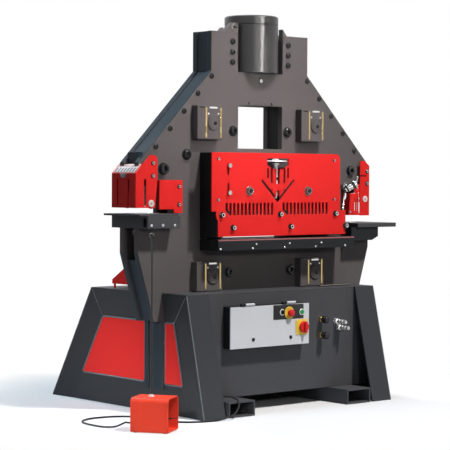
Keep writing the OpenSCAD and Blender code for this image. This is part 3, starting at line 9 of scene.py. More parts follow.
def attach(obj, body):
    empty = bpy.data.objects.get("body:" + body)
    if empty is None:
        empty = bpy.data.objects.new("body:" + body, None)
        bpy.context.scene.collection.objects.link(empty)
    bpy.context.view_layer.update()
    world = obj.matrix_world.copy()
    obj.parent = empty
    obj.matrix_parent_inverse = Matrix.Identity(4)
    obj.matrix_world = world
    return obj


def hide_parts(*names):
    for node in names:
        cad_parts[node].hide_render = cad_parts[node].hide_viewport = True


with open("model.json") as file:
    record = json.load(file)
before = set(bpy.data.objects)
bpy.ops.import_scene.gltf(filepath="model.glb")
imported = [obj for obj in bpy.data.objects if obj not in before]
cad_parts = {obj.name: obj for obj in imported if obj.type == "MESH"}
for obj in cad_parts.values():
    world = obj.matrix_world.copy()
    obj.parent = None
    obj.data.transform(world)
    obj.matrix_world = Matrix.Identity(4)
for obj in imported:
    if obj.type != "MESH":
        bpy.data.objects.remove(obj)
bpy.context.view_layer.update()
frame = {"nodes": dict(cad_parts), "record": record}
nodes = frame["nodes"]
scene = bpy.context.scene
scene.view_settings.view_transform = "Standard"
print("frame loaded:", len(nodes), "nodes")

# camera: long lens, front left of the machine, almost level
shot = dict(place=(-5.9147, -7.0067, 1.2064), turn=-40.30, tilt=1.634, roll=0.287, lens=133.96, sensor=36, far=60)


def setCamera(s):
    a, e, r = (math.radians(s[k]) for k in ("turn", "tilt", "roll"))
    behind = Vector((math.sin(a) * math.cos(e), -math.cos(a) * math.cos(e), math.sin(e)))
    right = (-behind).cross(Vector((0, 0, 1))).normalized()
    up = behind.cross(right)
    x = right * math.cos(r) + up * math.sin(r)
    y = up * math.cos(r) - right * math.sin(r)
    data = bpy.data.cameras.new("shotCamera")
    data.sensor_width = s["sensor"]
    data.lens = s["lens"]
    data.clip_end = s["far"]
    cam = bpy.data.objects.new("shotCamera", data)
    m = Matrix((x, y, behind)).transposed().to_4x4()
    m.translation = Vector(s["place"])
    cam.matrix_world = m
    scene.collection.objects.link(cam)
    scene.camera = cam


setCamera(shot)
print("camera set")


# materials
def newMaterial(name):
    mat = bpy.data.materials.new(name)
    mat.use_nodes = True
    tree = mat.node_tree
    tree.nodes.clear()
    out = tree.nodes.new("ShaderNodeOutputMaterial")
    bsdf = tree.nodes.new("ShaderNodeBsdfPrincipled")
    tree.links.new(bsdf.outputs[0], out.inputs[0])
    return mat, tree, bsdf


def node(tree, kind, **sockets):
    n = tree.nodes.new(kind)
    for k, v in sockets.items():
        n.inputs[k.replace("_", " ")].default_value = v
    return n


def feed(tree, sock, v):
    if hasattr(v, "is_linked"):
        tree.links.new(v, sock)
    else:
        sock.default_value = (*v, 1) if isinstance(v, tuple) else v


def objectPos(tree):
    return tree.nodes.new("ShaderNodeTexCoord").outputs["Object"]


def noiseOn(tree, coord, scale, detail=3.0):
    n = node(tree, "ShaderNodeTexNoise", Scale=scale, Detail=detail, Roughness=0.55)
    tree.links.new(coord, n.inputs["Vector"])
    return n.outputs["Fac"]


def rampOn(tree, fac, stops):
    r = tree.nodes.new("ShaderNodeValToRGB")
    els = r.color_ramp.elements
    while len(els) < len(stops):
        els.new(0.5)
    for el, (pos, col) in zip(els, stops):
        el.position = pos
        el.color = (*col, 1)
    tree.links.new(fac, r.inputs["Fac"])
    return r.outputs["Color"]


def grey(v):
    return (v, v, v)


# from low to high over the middle of a noise
def spanOn(tree, fac, low, high):
    return rampOn(tree, fac, [(0.3, low), (0.7, high)])


def mathOn(tree, kind, *values):
    m = tree.nodes.new("ShaderNodeMath")
    m.operation = kind
    for sock, v in zip(m.inputs, values):
        feed(tree, sock, v)
    return m.outputs[0]


def mixOn(tree, fac, a, b, how="MIX"):
    m = tree.nodes.new("ShaderNodeMix")
    m.data_type = "RGBA"
    m.blend_type = how
    for sock, v in ((m.inputs[0], fac), (m.inputs[6], a), (m.inputs[7], b)):
        feed(tree, sock, v)
    return m.outputs[2]


# fine bump over edges that look rounded by edge metres
def bumpOn(tree, bsdf, height, strength, distance, edge):
    b = node(tree, "ShaderNodeBump", Strength=strength, Distance=distance)
    tree.links.new(height, b.inputs["Height"])
    v = node(tree, "ShaderNodeBevel", Radius=edge)
    v.samples = 4
    tree.links.new(v.outputs[0], b.inputs["Normal"])
    tree.links.new(b.outputs[0], bsdf.inputs["Normal"])


# sprayed textured coat: fine grain, cloudy tone, rounded edges
def coatedSteel(name, colour, rough, speck, grain, bump, shine, edge=0.0025, cloud=0.08):
    mat, tree, bsdf = newMaterial(name)
    pos = objectPos(tree)
    fine, broad = noiseOn(tree, pos, grain, 2.0), noiseOn(tree, pos, 2.6, 4.0)
    low, high = (tuple(min(1.0, c * k) for c in colour) for k in (1 - speck, 1 + speck))
    grainy = rampOn(tree, fine, [(0.35, low), (0.65, high)])
    dim = spanOn(tree, broad, grey(1 - cloud), grey(1.0))
    tree.links.new(mixOn(tree, 1.0, grainy, dim, "MULTIPLY"), bsdf.inputs["Base Color"])
    tree.links.new(spanOn(tree, broad, grey(rough - 0.05), grey(rough + 0.07)), bsdf.inputs["Roughness"])
    bsdf.inputs["Specular IOR Level"].default_value = shine
    bumpOn(tree, bsdf, fine, 0.35, bump / 1000, edge)
    return mat


# ground metal: fine lines drawn along one way
def bareSteel(name, colour, rough, along=(40.0, 40.0, 900.0), edge=0.0012):
    mat, tree, bsdf = newMaterial(name)
    pos = objectPos(tree)
    stretch = tree.nodes.new("ShaderNodeMapping")
    stretch.inputs["Scale"].default_value = along
    tree.links.new(pos, stretch.inputs["Vector"])
    lines = noiseOn(tree, stretch.outputs[0], 1.0)
    broad = noiseOn(tree, pos, 9.0)
    tone = spanOn(tree, lines, tuple(c * 0.82 for c in colour), colour)
    tree.links.new(tone, bsdf.inputs["Base Color"])
    tree.links.new(spanOn(tree, broad, grey(rough * 0.75), grey(rough * 1.3)), bsdf.inputs["Roughness"])
    bsdf.inputs["Metallic"].default_value = 1.0
    bumpOn(tree, bsdf, lines, 0.15, 0.0001, edge)
    return mat


# moulded skin: faint grain and slight tone change
def mouldedPlastic(name, colour, rough, grain=700.0, bump=0.03, edge=0.0015, shine=0.22):
    mat, tree, bsdf = newMaterial(name)
    pos = objectPos(tree)
    fine, broad = noiseOn(tree, pos, grain, 2.0), noiseOn(tree, pos, 14.0, 2.0)
    tone = spanOn(tree, broad, tuple(c * 0.9 for c in colour), colour)
    tree.links.new(tone, bsdf.inputs["Base Color"])
    tree.links.new(spanOn(tree, broad, grey(rough - 0.04), grey(rough + 0.06)), bsdf.inputs["Roughness"])
    bsdf.inputs["Specular IOR Level"].default_value = shine
    bumpOn(tree, bsdf, fine, 0.3, bump / 1000, edge)
    return mat


# printed scale: dark rules up the slope below a plain tinted band
def ruledPlate(name, c):
    mat, tree, bsdf = newMaterial(name)
    pos = objectPos(tree)
    place = tree.nodes.new("ShaderNodeMapping")
    place.vector_type = "TEXTURE"
    place.inputs["Location"].default_value = c["at"]
    place.inputs["Rotation"].default_value = (0, math.radians(-c["slope"]), 0)
    tree.links.new(pos, place.inputs["Vector"])
    split = tree.nodes.new("ShaderNodeSeparateXYZ")
    tree.links.new(place.outputs[0], split.inputs[0])
    along = mathOn(tree, "FRACT", mathOn(tree, "MULTIPLY", split.outputs["Y"], 1 / c["pitch"]))
    up = mathOn(tree, "MULTIPLY", split.outputs["X"], 1 / c["length"])
    black, white = grey(0), grey(1)

    def band(low, high):
        return rampOn(tree, up, [(0.0, black), (low, black), (low + 0.02, white), (high, white), (high + 0.02, black)])

    rule = rampOn(tree, along, [(0.0, white), (c["share"], white), (c["share"] + 0.03, black)])
    worn = noiseOn(tree, pos, 160.0, 2.0)
    paper = spanOn(tree, worn, tuple(k * 0.93 for k in c["ground"]), c["ground"])
    ruled = mixOn(tree, mixOn(tree, 1.0, rule, band(*c["ruled"]), "MULTIPLY"), paper, c["ink"])
    tree.links.new(mixOn(tree, band(*c["tinted"]), ruled, c["tint"]), bsdf.inputs["Base Color"])
    bsdf.inputs["Roughness"].default_value = 0.6
    bsdf.inputs["Specular IOR Level"].default_value = 0.05
    return mat


# coats: colour, roughness, speck, grain, bump (mm), shine, then edge (m) and cloud where they differ
coats = dict(
    plateGrey=((0.117, 0.105, 0.105), 0.55, 0.14, 700, 0.08, 0.08),
    baseGrey=((0.070, 0.070, 0.076), 0.50, 0.22, 520, 0.10, 0.10, 0.005),
    # the base ends' darker bluish grey is painted shade, with the sky's tint painted on their side faces
    endGrey=((0.042, 0.045, 0.050), 0.50, 0.12, 900, 0.06, 0.10, 0.005),
    deepGrey=((0.020, 0.021, 0.023), 0.45, 0.16, 700, 0.06, 0.08),
    barrelGrey=((0.024, 0.023, 0.024), 0.33, 0.05, 500, 0.02, 0.42, 0.003),
    guardRed=((0.76, 0.023, 0.021), 0.48, 0.05, 800, 0.04, 0.10, 0.0025, 0.05),
    panelRed=((0.90, 0.036, 0.032), 0.50, 0.04, 800, 0.03, 0.10, 0.0025, 0.03),
    pedalRed=((0.88, 0.064, 0.030), 0.46, 0.06, 600, 0.05, 0.14, 0.004, 0.05),
    blackSteel=((0.014, 0.014, 0.016), 0.15, 0.2, 1200, 0.01, 0.36, 0.0012),
    boxGrey=((0.66, 0.67, 0.69), 0.42, 0.03, 900, 0.03, 0.16, 0.0025, 0.04),
    # near-white satin zinc; on the hold-down spindle it is a painted reflection of the chrome's bright sheen
    satinZinc=((0.86, 0.86, 0.86), 0.36, 0.04, 900, 0.02, 0.5, 0.001, 0.04),
    # these two bluish greys are a painted sky reflection and painted shade on the uprights' edges, slopes and spacers
    spacerBlue=((0.023, 0.036, 0.049), 0.50, 0.10, 700, 0.03, 0.12, 0.004, 0.06),
    slopeBlue=((0.025, 0.040, 0.053), 0.55, 0.10, 700, 0.03, 0.02, 0.004, 0.06),
    # the bed edge's pink is a painted reflection of the red guard
    bedSheen=((0.36, 0.13, 0.13), 0.30, 0.04, 900, 0.02, 0.4, 0.001, 0.06),
    # this pale bluish grey is a painted highlight on the ends' panel beads and fold lines; the roof tab uses it as its
    # own colour
    beadGrey=((0.13, 0.15, 0.17), 0.36, 0.10, 600, 0.05, 0.5),
)
# metals: colour, roughness, then the lines' scale where it differs
metals = dict(
    groundSteel=((0.62, 0.62, 0.63), 0.26),
    zincSteel=((0.80, 0.80, 0.80), 0.34, (60.0, 60.0, 300.0)),
    chrome=((0.52, 0.51, 0.50), 0.10, (6.0, 6.0, 30.0)),
    brass=((0.62, 0.47, 0.20), 0.30),
    nutSteel=((0.24, 0.21, 0.20), 0.20),
)
# plastics: colour, roughness
plastics = dict(
    blackPlastic=((0.018, 0.018, 0.019), 0.38),
    redPlastic=((0.72, 0.02, 0.02), 0.25),
    greenPlastic=((0.02, 0.36, 0.10), 0.25),
    yellowPlastic=((0.86, 0.58, 0.06), 0.34),
    whitePlastic=((0.74, 0.73, 0.72), 0.34),
    pinkPlastic=((0.62, 0.34, 0.32), 0.34),
    cordRubber=((0.007, 0.007, 0.008), 0.5),
)
makers = ((coatedSteel, coats), (bareSteel, metals), (mouldedPlastic, plastics))
finish = {name: make(name, *look) for make, looks in makers for name, look in looks.items()}

# finish of each slot of the record, and of the nodes that differ from their slot
slotFinish = {
    "grey_plate": "plateGrey", "base_grey": "baseGrey", "dark_steel": "deepGrey", "safety_red": "guardRed",
    "bright_steel": "groundSteel", "chrome": "chrome", "brass": "brass", "black_oxide": "blackSteel",
    "box_grey": "boxGrey", "black_plastic": "blackPlastic", "red_plastic": "redPlastic",
    "green_plastic": "greenPlastic", "pedal_red": "pedalRed", "rubber": "cordRubber",
}
ownFinish = {
    "base_left_end": "endGrey", "base_right_end": "endGrey", "edge_spacers": "spacerBlue", "end_panels": "panelRed",
    # the left die block in base grey and the right one in deep grey are darker than the plate: painted shade on them
    "cylinder_barrel": "barrelGrey", "cylinder_cap": "barrelGrey", "left_die_block": "baseGrey",
    "right_die_block": "deepGrey", "left_table": "baseGrey", "right_table": "baseGrey", "hold_down_foot": "satinZinc",
}
for sp in frame["record"]["subparts"]:
    ob = nodes[sp["node"]]
    ob.data.materials.clear()
    ob.data.materials.append(finish[ownFinish.get(sp["node"], slotFinish[sp["material_slot"]])])
print("finishes:", len(finish))

# shapes worked out on grids
plateFace = -0.318  # the front plate's front face in the frame
guardFace = -144  # faces in millimetres from that face
doorFace = -244.28
out = (0, -1, 0)  # towards the front
back = (0, 1, 0)
upright = (0, 0, 1)


# millimetres from the front plate's face to the frame's metres
def mm(points):
    p = np.array(points, float) / 1000
    p[..., 1] += plateFace
    return p


# quads of a grid that closes round its columns
def gridFaces(rows, cols, loop=False):
    i, j = np.meshgrid(np.arange(rows if loop else rows - 1), np.arange(cols), indexing="ij")
    i2, j2 = (i + 1) % rows, (j + 1) % cols
    return np.stack([i * cols + j, i * cols + j2, i2 * cols + j2, i2 * cols + j], -1).reshape(-1, 4).tolist()


# first and last ring of a grid, filled
def endFaces(rows, cols):
    return [list(range(cols))[::-1], list(range((rows - 1) * cols, rows * cols))]


# profile (r, h, c) turned once round: (k r cos u, k r sin u, h), where k flattens rows with c into a c-sided head
def turned(profile, sides=36, ribs=0, rib=0.0):
    p = np.array([(*row, 0)[:3] for row in profile], float)
    u = np.arange(sides) * 2 * np.pi / sides
    step = 2 * np.pi / np.where(p[:, 2] > 0, p[:, 2], 1)[:, None]
    k = np.where(p[:, 2:] > 0, np.cos(step / 2) / np.cos(u % step - step / 2), 1.0)
    if ribs:
        k = k * (1 + rib * np.cos(ribs * u))
    v = np.stack([p[:, :1] * k * np.cos(u), p[:, :1] * k * np.sin(u), np.repeat(p[:, 1:2], sides, 1)], -1)
    return v.reshape(-1, 3), gridFaces(len(p), sides)


# outline (x, y) drawn in by d at height h for each ring (d, h), flat at both ends
def slab(outline, rings):
    p = np.array(outline, float)
    e = np.roll(p, -1, 0) - p
    e /= np.linalg.norm(e, axis=1, keepdims=True)
    n = np.stack([e[:, 1], -e[:, 0]], -1)
    b = np.roll(n, 1, 0)
    m = (n + b) / (1 + (n * b).sum(1, keepdims=True))
    d, h = np.array(rings, float).T
    xy = p[None] - d[:, None, None] * m[None]
    v = np.concatenate([xy, np.broadcast_to(h[:, None, None], (*xy.shape[:2], 1))], -1)
    return v.reshape(-1, 3), gridFaces(len(d), len(p)) + endFaces(len(d), len(p))


# rectangle with round corners: four quarter arcs joined
def roundBox(w, h, r, steps=5, x=0.0, y=0.0):
    a = np.linspace(0, np.pi / 2, steps)[None] + np.arange(4)[:, None] * np.pi / 2
    cx = np.array([1, -1, -1, 1])[:, None] * (w / 2 - r)
    cy = np.array([1, 1, -1, -1])[:, None] * (h / 2 - r)
    return np.stack([x + cx + r * np.cos(a), y + cy + r * np.sin(a)], -1).reshape(-1, 2)


# rings of a plate from height a to b with edges rounded by r
def softEdge(a, b, r, steps=3):
    t = np.linspace(0, np.pi / 2, steps)
    low = np.stack([r * (1 - np.sin(t)), a + r * (1 - np.cos(t))], -1)
    high = np.stack([r * (1 - np.sin(t)), b - r * (1 - np.cos(t))], -1)[::-1]
    return np.concatenate([low, high])


# circle of radius r carried along a path, each ring square to the path and set by a fixed up
def tube(path, r, sides=12, up=upright, loop=False):
    p = np.array(path, float)
    d = np.roll(p, -1, 0) - np.roll(p, 1, 0)
    if not loop:
        d[0], d[-1] = p[1] - p[0], p[-1] - p[-2]
    d /= np.linalg.norm(d, axis=1, keepdims=True)
    s = np.cross(d, np.array(up, float))
    s /= np.linalg.norm(s, axis=1, keepdims=True)
    w = np.cross(s, d)
    u = np.arange(sides) * 2 * np.pi / sides
    rr = np.broadcast_to(np.asarray(r, float), (len(p),))[:, None, None]
    v = p[:, None] + rr * (s[:, None] * np.cos(u)[None, :, None] + w[:, None] * np.sin(u)[None, :, None])
    return v.reshape(-1, 3), gridFaces(len(p), sides, loop) + ([] if loop else endFaces(len(p), sides))


# smooth line through points: Catmull-Rom, steps points to a span
def smoothLine(points, steps):
    p = np.array(points, float)
    q = np.concatenate([p[:1], p, p[-1:]])
    a, b, c, d = q[:-3, None], q[1:-2, None], q[2:-1, None], q[3:, None]
    t = (np.arange(steps) / steps)[None, :, None]
    v = (2 * b + (c - a) * t + (2 * a - 5 * b + 4 * c - d) * t**2 + (3 * b - a - 3 * c + d) * t**3) / 2
    return np.concatenate([v.reshape(-1, 3), p[-1:]])


# shape's z laid along way, one copy at each place
def facing(shape, way, places, spin=0.0):
    v, f = shape
    z = np.array(way, float) / np.linalg.norm(way)
    x = np.cross(z, (0, 0, 1) if abs(z[2]) < 0.9 else (0, -1, 0))
    x /= np.linalg.norm(x)
    y = np.cross(z, x)
    c, s = math.cos(math.radians(spin)), math.sin(math.radians(spin))
    at = np.atleast_2d(np.array(places, float))
    w = v @ np.stack([x * c + y * s, y * c - x * s, z])
    allV = (w[None] + at[:, None]).reshape(-1, 3)
    return allV, [[i + k * len(v) for i in face] for k in range(len(at)) for face in f]


def joined(*shapes):
    v, f, n = [], [], 0
    for sv, sf in shapes:
        v.append(sv)
        f += [[i + n for i in face] for face in sf]
        n += len(sv)
    return np.concatenate(v), f


def sized(shape):
    return shape[0] * 0.001, shape[1]


# points (x, y, z) of the plane y
def onFace(y, places):
    return [(x, y, z) for x, z in places]


# shape in millimetres, one copy at each point
def placed(shape, points, spin=0.0, way=out):
    return facing(sized(shape), way, mm(points), spin)


def piece(name, shape, mat, body="frame", angle=38):
    mesh = bpy.data.meshes.new(name)
    mesh.from_pydata(np.asarray(shape[0]).tolist(), [], shape[1])
    bm = bmesh.new()
    bm.from_mesh(mesh)
    bmesh.ops.remove_doubles(bm, verts=bm.verts, dist=2e-6)
    bmesh.ops.recalc_face_normals(bm, faces=bm.faces)
    bm.to_mesh(mesh)
    bm.free()
    mesh.materials.append(finish[mat] if isinstance(mat, str) else mat)
    mesh.shade_smooth()
    mesh.set_sharp_from_angle(angle=math.radians(angle))
    ob = bpy.data.objects.new(name, mesh)
    scene.collection.objects.link(ob)
    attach(ob, body)
    return ob


# cord of the foot switch: Ø9, from the switch's gland along the floor to the gland on the front sheet
cordRun = dict(width=0.009, lead=0.028, foot=(-1.044, -0.752), turn=34.0, reach=0.119, footHeight=0.034, floor=0.005,
               entry=(-0.545, -0.53077, 0.112), steps=8, sides=14,
               drop=[(-1.150, -0.585, 0.012)],
               lying=[(-1.172, -0.520), (-1.180, -0.440), (-1.172, -0.360), (-1.139, -0.300), (-1.075, -0.262),
                      (-1.003, -0.256), (-0.925, -0.275), (-0.862, -0.325), (-0.830, -0.410), (-0.822, -0.510),
                      (-0.802, -0.600), (-0.752, -0.660), (-0.675, -0.690)],
               rise=[(-0.590, -0.702, 0.007), (-0.510, -0.706, 0.024), (-0.462, -0.690, 0.060), (-0.445, -0.662, 0.088),
                     (-0.458, -0.630, 0.102), (-0.490, -0.606, 0.109), (-0.528, -0.588, 0.112)])


def layCord(c):
    t = math.radians(c["turn"])
    d = c["reach"] + np.array([0, 0.5, 1])[:, None] * c["lead"]
    start = np.concatenate([c["foot"][0] - math.sin(t) * d, c["foot"][1] + math.cos(t) * d, 0 * d + c["footHeight"]], 1)
    end = np.array(c["entry"]) - np.array([1, 0.5, 0])[:, None] * c["lead"] * np.array([0, 1, 0])
    lying = [(x, y, c["floor"]) for x, y in c["lying"]]
    line = smoothLine(np.concatenate([start, c["drop"], lying, c["rise"], end]), c["steps"])
    cord = piece("footCord", tube(line, c["width"] / 2, c["sides"]), "cordRubber", angle=60)
    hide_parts("foot_cord")


layCord(cordRun)


# heads in millimetres: domed with a socket, hex with a washer and a socket, hex nut on a washer
def domedHead(r, h, key):
    return turned([(0, -0.4), (r, -0.4), (r, 0.22 * h), (0.97 * r, 0.36 * h), (0.86 * r, 0.66 * h),
                   (0.68 * r, 0.87 * h), (0.5 * r, 0.97 * h), (key * 1.18, h), (key, h, 6),
                   (key, 0.42 * h, 6), (0, 0.34 * h)])


def hexHead(r, h, washer):
    return turned([(0, -0.4), (1.2 * r, -0.4), (1.2 * r, washer * 0.7), (1.14 * r, washer), (0.98 * r, washer),
                   (r, washer, 6), (r, h * 0.74, 6), (0.94 * r, h * 0.88), (0.82 * r, h), (0.56 * r, h),
                   (0.48 * r, h * 0.9), (0.46 * r, h * 0.3, 6), (0, h * 0.26)])


def nutHead(r, h, washer):
    return turned([(0, -0.4), (1.16 * r, -0.4), (1.16 * r, washer * 0.7), (1.1 * r, washer), (0.98 * r, washer),
                   (r, washer, 6), (r, h * 0.84, 6), (0.86 * r, h), (0.6 * r, h), (0.55 * r, h * 0.94),
                   (0.55 * r, h * 0.5), (0, h * 0.5)])


# bolts of the upright: domed heads along the edges and beside the cylinder, hex studs on the front
frameBolts = dict(tie=(15, 9.5, 6.5), cylinder=(16.5, 13, 8.0), stud=(24, 18, 2.2), bigStud=(27, 24, 2.2), thick=152,
                  first=20, pitch=130, ties=5, neck=(340, 1760), slope=(475, 482), slopeRun=676.7, inset=21,
                  column=[(197, 1810), (197, 1864), (197, 1918)], bigAt=[(-656.9, 1247.1)],
                  studsAt=[(-505.3, 1322.1), (670.7, 1245.0), (-192, 1449.2), (192, 1449.2), (-217, 709), (217, 709)])


def addFrameBolts(c):
    run = c["first"] + c["pitch"] * np.arange(c["ties"])
    dx, dz = (s / c["slopeRun"] for s in c["slope"])
    x, z = c["neck"]
    row = np.stack([x + dx * run - dz * c["inset"], z - dz * run - dx * c["inset"]], -1)
    heads = []
    for key, places, spin in (("tie", row, 12), ("cylinder", np.array(c["column"]), 25)):
        shape, both = domedHead(*c[key]), np.concatenate([places * (-1, 1), places])
        heads += [placed(shape, onFace(0, both), spin), placed(shape, onFace(c["thick"], both), spin, back)]
    ob = piece("frameBolts", joined(*heads, placed(hexHead(*c["stud"]), onFace(0, c["studsAt"]), 10),
                                    placed(hexHead(*c["bigStud"]), onFace(0, c["bigAt"]), 20)),
               "blackSteel", angle=32)
    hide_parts("frame_bolts")


addFrameBolts(frameBolts)

# gib screws of the red guard: flanged socket heads
gibScrews = dict(r=13, flange=16, h=17, key=7.0, knurl=(24, 0.012),
                 at=onFace(guardFace, [(-388, 1013), (-312, 947), (15, 1013), (91, 947), (418, 1013), (494, 947)]))


def addGibScrews(c):
    r, f, h, k = c["r"], c["flange"], c["h"], c["key"]
    head = turned([(0, -0.3), (f, -0.3), (f, 2.4), (f - 1, 3.6), (r + 0.6, 4), (r, 5), (r, h - 2), (r - 0.8, h - 0.6),
                   (r - 2, h), (k * 1.25, h), (k, h - 1, 6), (k, h - 9, 6), (0, h - 10)], 48, *c["knurl"])
    ob = piece("gibScrews", placed(head, c["at"], 20), "blackSteel", angle=30)
    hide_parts("gib_bolts")


addGibScrews(gibScrews)

# dark plates behind the guard's sight slots and the wheel's cut: painted shade that keeps those openings black
slotShadeSheets = dict(x=74, w=114, z=1162, h=176, y=-138, cut=(190, 84), cutZ=1269)


def addSlotShadeSheets(c):
    plate = slab(roundBox(c["w"], c["h"], 6), softEdge(0.1, 1.4, 0.5))
    behind = slab(roundBox(*c["cut"], 4), softEdge(-0.4, 1.2, 0.4))
    pair = onFace(c["y"], [(-c["x"], c["z"]), (c["x"], c["z"])])
    piece("slotShadeSheets", joined(placed(plate, pair, way=back), placed(behind, [(0, 0, c["cutZ"])])), "deepGrey")


addSlotShadeSheets(slotShadeSheets)

# small screws of the guards and covers: button heads with bright rings at their socket lips that are a painted glint on
# the sockets, and two hex bolts
guardScrews = dict(small=(9, 5, 4.2), cover=(11.5, 7.5, 5.0), nut=(21, 15, 3),
                   corners=onFace(guardFace, [(-410, 1300), (410, 1300), (-410, 1090), (410, 1090)]),
                   front=[(-740, -24, 1211), (-740, -24, 1276), (-573, -27, 1066), (-573, -27, 1158), (781, -24, 1176),
                          (781, -24, 1243)],
                   rear=[(-740, 176, 1211), (-740, 176, 1276)], hexAt=onFace(guardFace, [(-199, 1136), (216, 1135)]))


def socketGlintRing(r, h):
    return turned([(r * 0.9, h - 1.6), (r, h - 0.6), (r * 1.12, h + 0.25), (r * 1.4, h + 0.3), (r * 1.52, h - 0.2),
                   (r * 0.9, h - 1.6)], 24)


def addGuardScrews(c):
    small, cover = domedHead(*c["small"]), domedHead(*c["cover"])
    piece("guardScrews", joined(placed(small, c["corners"], 8), placed(cover, c["front"], 15),
                                placed(cover, c["rear"], 15, back)), "blackSteel", angle=32)
    smallGlint, coverGlint = (socketGlintRing(c[k][2], c[k][1]) for k in ("small", "cover"))
    gibGlint = socketGlintRing(gibScrews["key"], gibScrews["h"])
    piece("socketGlints", joined(placed(coverGlint, c["front"]), placed(coverGlint, c["rear"], way=back),
                               placed(smallGlint, c["corners"]), placed(gibGlint, gibScrews["at"])),
          "zincSteel", angle=32)
    piece("guardHexBolts", placed(nutHead(*c["nut"]), c["hexAt"], 14), "nutSteel", angle=30)
    ends = turned([(0, 6), (9.4, 6), (9.4, 15.6), (8, 18.4), (6, 18.6), (5, 16), (0, 16)], 24)
    piece("guardStudEnds", placed(ends, c["hexAt"]), "blackSteel", angle=30)


addGuardScrews(guardScrews)
print("bolts and screws set")

# handwheel: dished web, rolled rim with finger flutes, threaded spindle in a sleeve; the rim's lower half is black as
# painted shade on its underside
handwheel = dict(at=(0, -124, 1289), rim=60, roll=7, flutes=(40, 0.012), hub=18, web=36, spindle=9, thread=0.9,
                 low=1128, pitch=2.6, sleeve=11.5, sleeveZ=1152)


def addHandwheel(c):
    t = np.linspace(0, np.pi, 11)
    rim, roll, hub, web, z = c["rim"], c["roll"], c["hub"], c["web"], c["at"][2]
    half = np.stack([rim - roll + roll * np.cos(t), roll * np.sin(t)], -1)
    wheel, shadedUnder = (turned((half * (1, s)).tolist() + half[:1].tolist(), 120, *c["flutes"]) for s in (1, -1))
    disc = turned([(hub, -15), (hub, -4), (hub + 4, -2.4), (web, -1.2), (rim - 9, -2.2), (rim - 9, 2.6), (web, 3.2),
                   (hub + 3, 4.2), (hub, 8), (hub - 1, 14), (hub - 4, 15.5), (9, 15.5), (8, 17), (0, 17.5)], 60)
    turns = np.arange(c["low"], c["sleeveZ"], c["pitch"] / 2)
    r = np.where(np.arange(len(turns)) % 2 == 0, c["spindle"], c["spindle"] - c["thread"])
    low = np.concatenate([[(0, c["low"]), (7, c["low"])], np.stack([r, turns], -1)[1:],
                          [(c["sleeve"], c["sleeveZ"] + 1), (c["sleeve"], z - 14)]])
    spindle = turned((low - (0, z)).tolist(), 24)
    # the spindle's near-white satin coat is a painted reflection of the chrome's brightness
    for name, shape, mat in (("holdDownWheel", joined(wheel, disc), "zincSteel"),
                             ("holdDownSpindle", spindle, "satinZinc"), ("wheelShadedUnderside", shadedUnder, "blackPlastic")):
        ob = piece(name, placed(shape, [c["at"]], way=upright), mat, "handwheel", 30)
        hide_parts("hold_down_wheel")


addHandwheel(handwheel)

# stop knobs: lobed grip on a collar
stopKnobs = dict(x=-343, upper=1267, lower=1127, r=13, h=18, lobes=(6, 0.055))


def addStopKnob(name, z, body, nodeName, c):
    r, h = c["r"], c["h"]
    grip = turned([(0, 0.3), (0.6 * r, 0.3), (0.62 * r, 4), (0.9 * r, 5.5), (0.97 * r, 8), (0.97 * r, h - 4),
                   (0.9 * r, h - 1.5), (0.72 * r, h - 0.2), (0.3 * r, h + 0.3), (0, h + 0.3)], 48, *c["lobes"])
    shank = turned([(0, -12), (11, -12), (11, -6.8), (4.4, -6.8), (4.4, 1), (0, 1)], 24)
    ob = piece(name, placed(joined(grip, shank), [(c["x"], guardFace, z)]), "chrome", body, 34)
    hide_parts(nodeName)


addStopKnob("upperStopKnob", stopKnobs["upper"], "upper_stop", "upper_stop_knob", stopKnobs)
addStopKnob("lowerStopKnob", stopKnobs["lower"], "lower_stop", "lower_stop_knob", stopKnobs)
print("handwheel and stop knobs set")

# guide blocks: round cover with a groove, an off-centre screw, two bright screws, a bright plate and a slot
guideTrim = dict(x=363, face=46, boss=51, thick=152, high=(1488, 86), low=(694, 75), cover=38, eye=(7, 0, -3),
                 eyeHead=(10, 6, 4), ears=(33, 45), earHead=(5.5, 4, 2.4), plate=(52, 9, -9), slot=(34, 6, -76, -8))


def addGuideTrim(c):
    r = c["cover"]
    cover = turned([(0, -0.3), (r, -0.3), (r, 1.2), (r - 1.2, 2.2), (r - 4, 2.2), (r - 5, 0.5), (r - 9, 0.5),
                    (r - 10, 2.0), (10, 2.6), (0, 2.6)], 48)
    blocks = [(s * c["x"], 0, *b) for s in (-1, 1) for b in (c["high"], c["low"])]
    mids = np.array(blocks, float)[:, :3]
    tops = np.array([(0, 0, b[3]) for b in blocks], float)
    both = lambda shape, at, y, turn=0: joined(placed(shape, at - (0, y, 0), turn),
                                               placed(shape, at + (0, c["thick"] + y, 0), turn, back))
    piece("guideCovers", both(cover, mids, c["boss"], 20), "plateGrey", angle=30)
    eyes = both(domedHead(*c["eyeHead"]), mids + c["eye"], c["boss"] + 2.4, 15)
    w, t, aside, drop = c["slot"]
    slots = both(slab(roundBox(w, t, 2), softEdge(-0.2, 1.0, 0.4)), mids + tops + (aside, 0, drop), c["face"])
    piece("guideScrews", joined(eyes, slots), "blackSteel", angle=32)
    w, t, drop = c["plate"]
    plates = both(slab(roundBox(w, t, 2), softEdge(-0.2, 2.2, 0.8)), mids + tops + (0, 0, drop), c["face"])
    dx, dz = c["ears"]
    ears = [both(domedHead(*c["earHead"]), mids + (side * dx, 0, dz), c["face"], 5) for side in (-1, 1)]
    piece("guidePlates", joined(plates, *ears), "zincSteel")


addGuideTrim(guideTrim)

# lifting bushes in the two horns: turned rings with rounded lips; plug of the pilot hole
liftBush = dict(r=17, t=32, plug=(4, 0, 1719), at=[(-180, 0, 1987.5), (180, 120, 1987.5)])


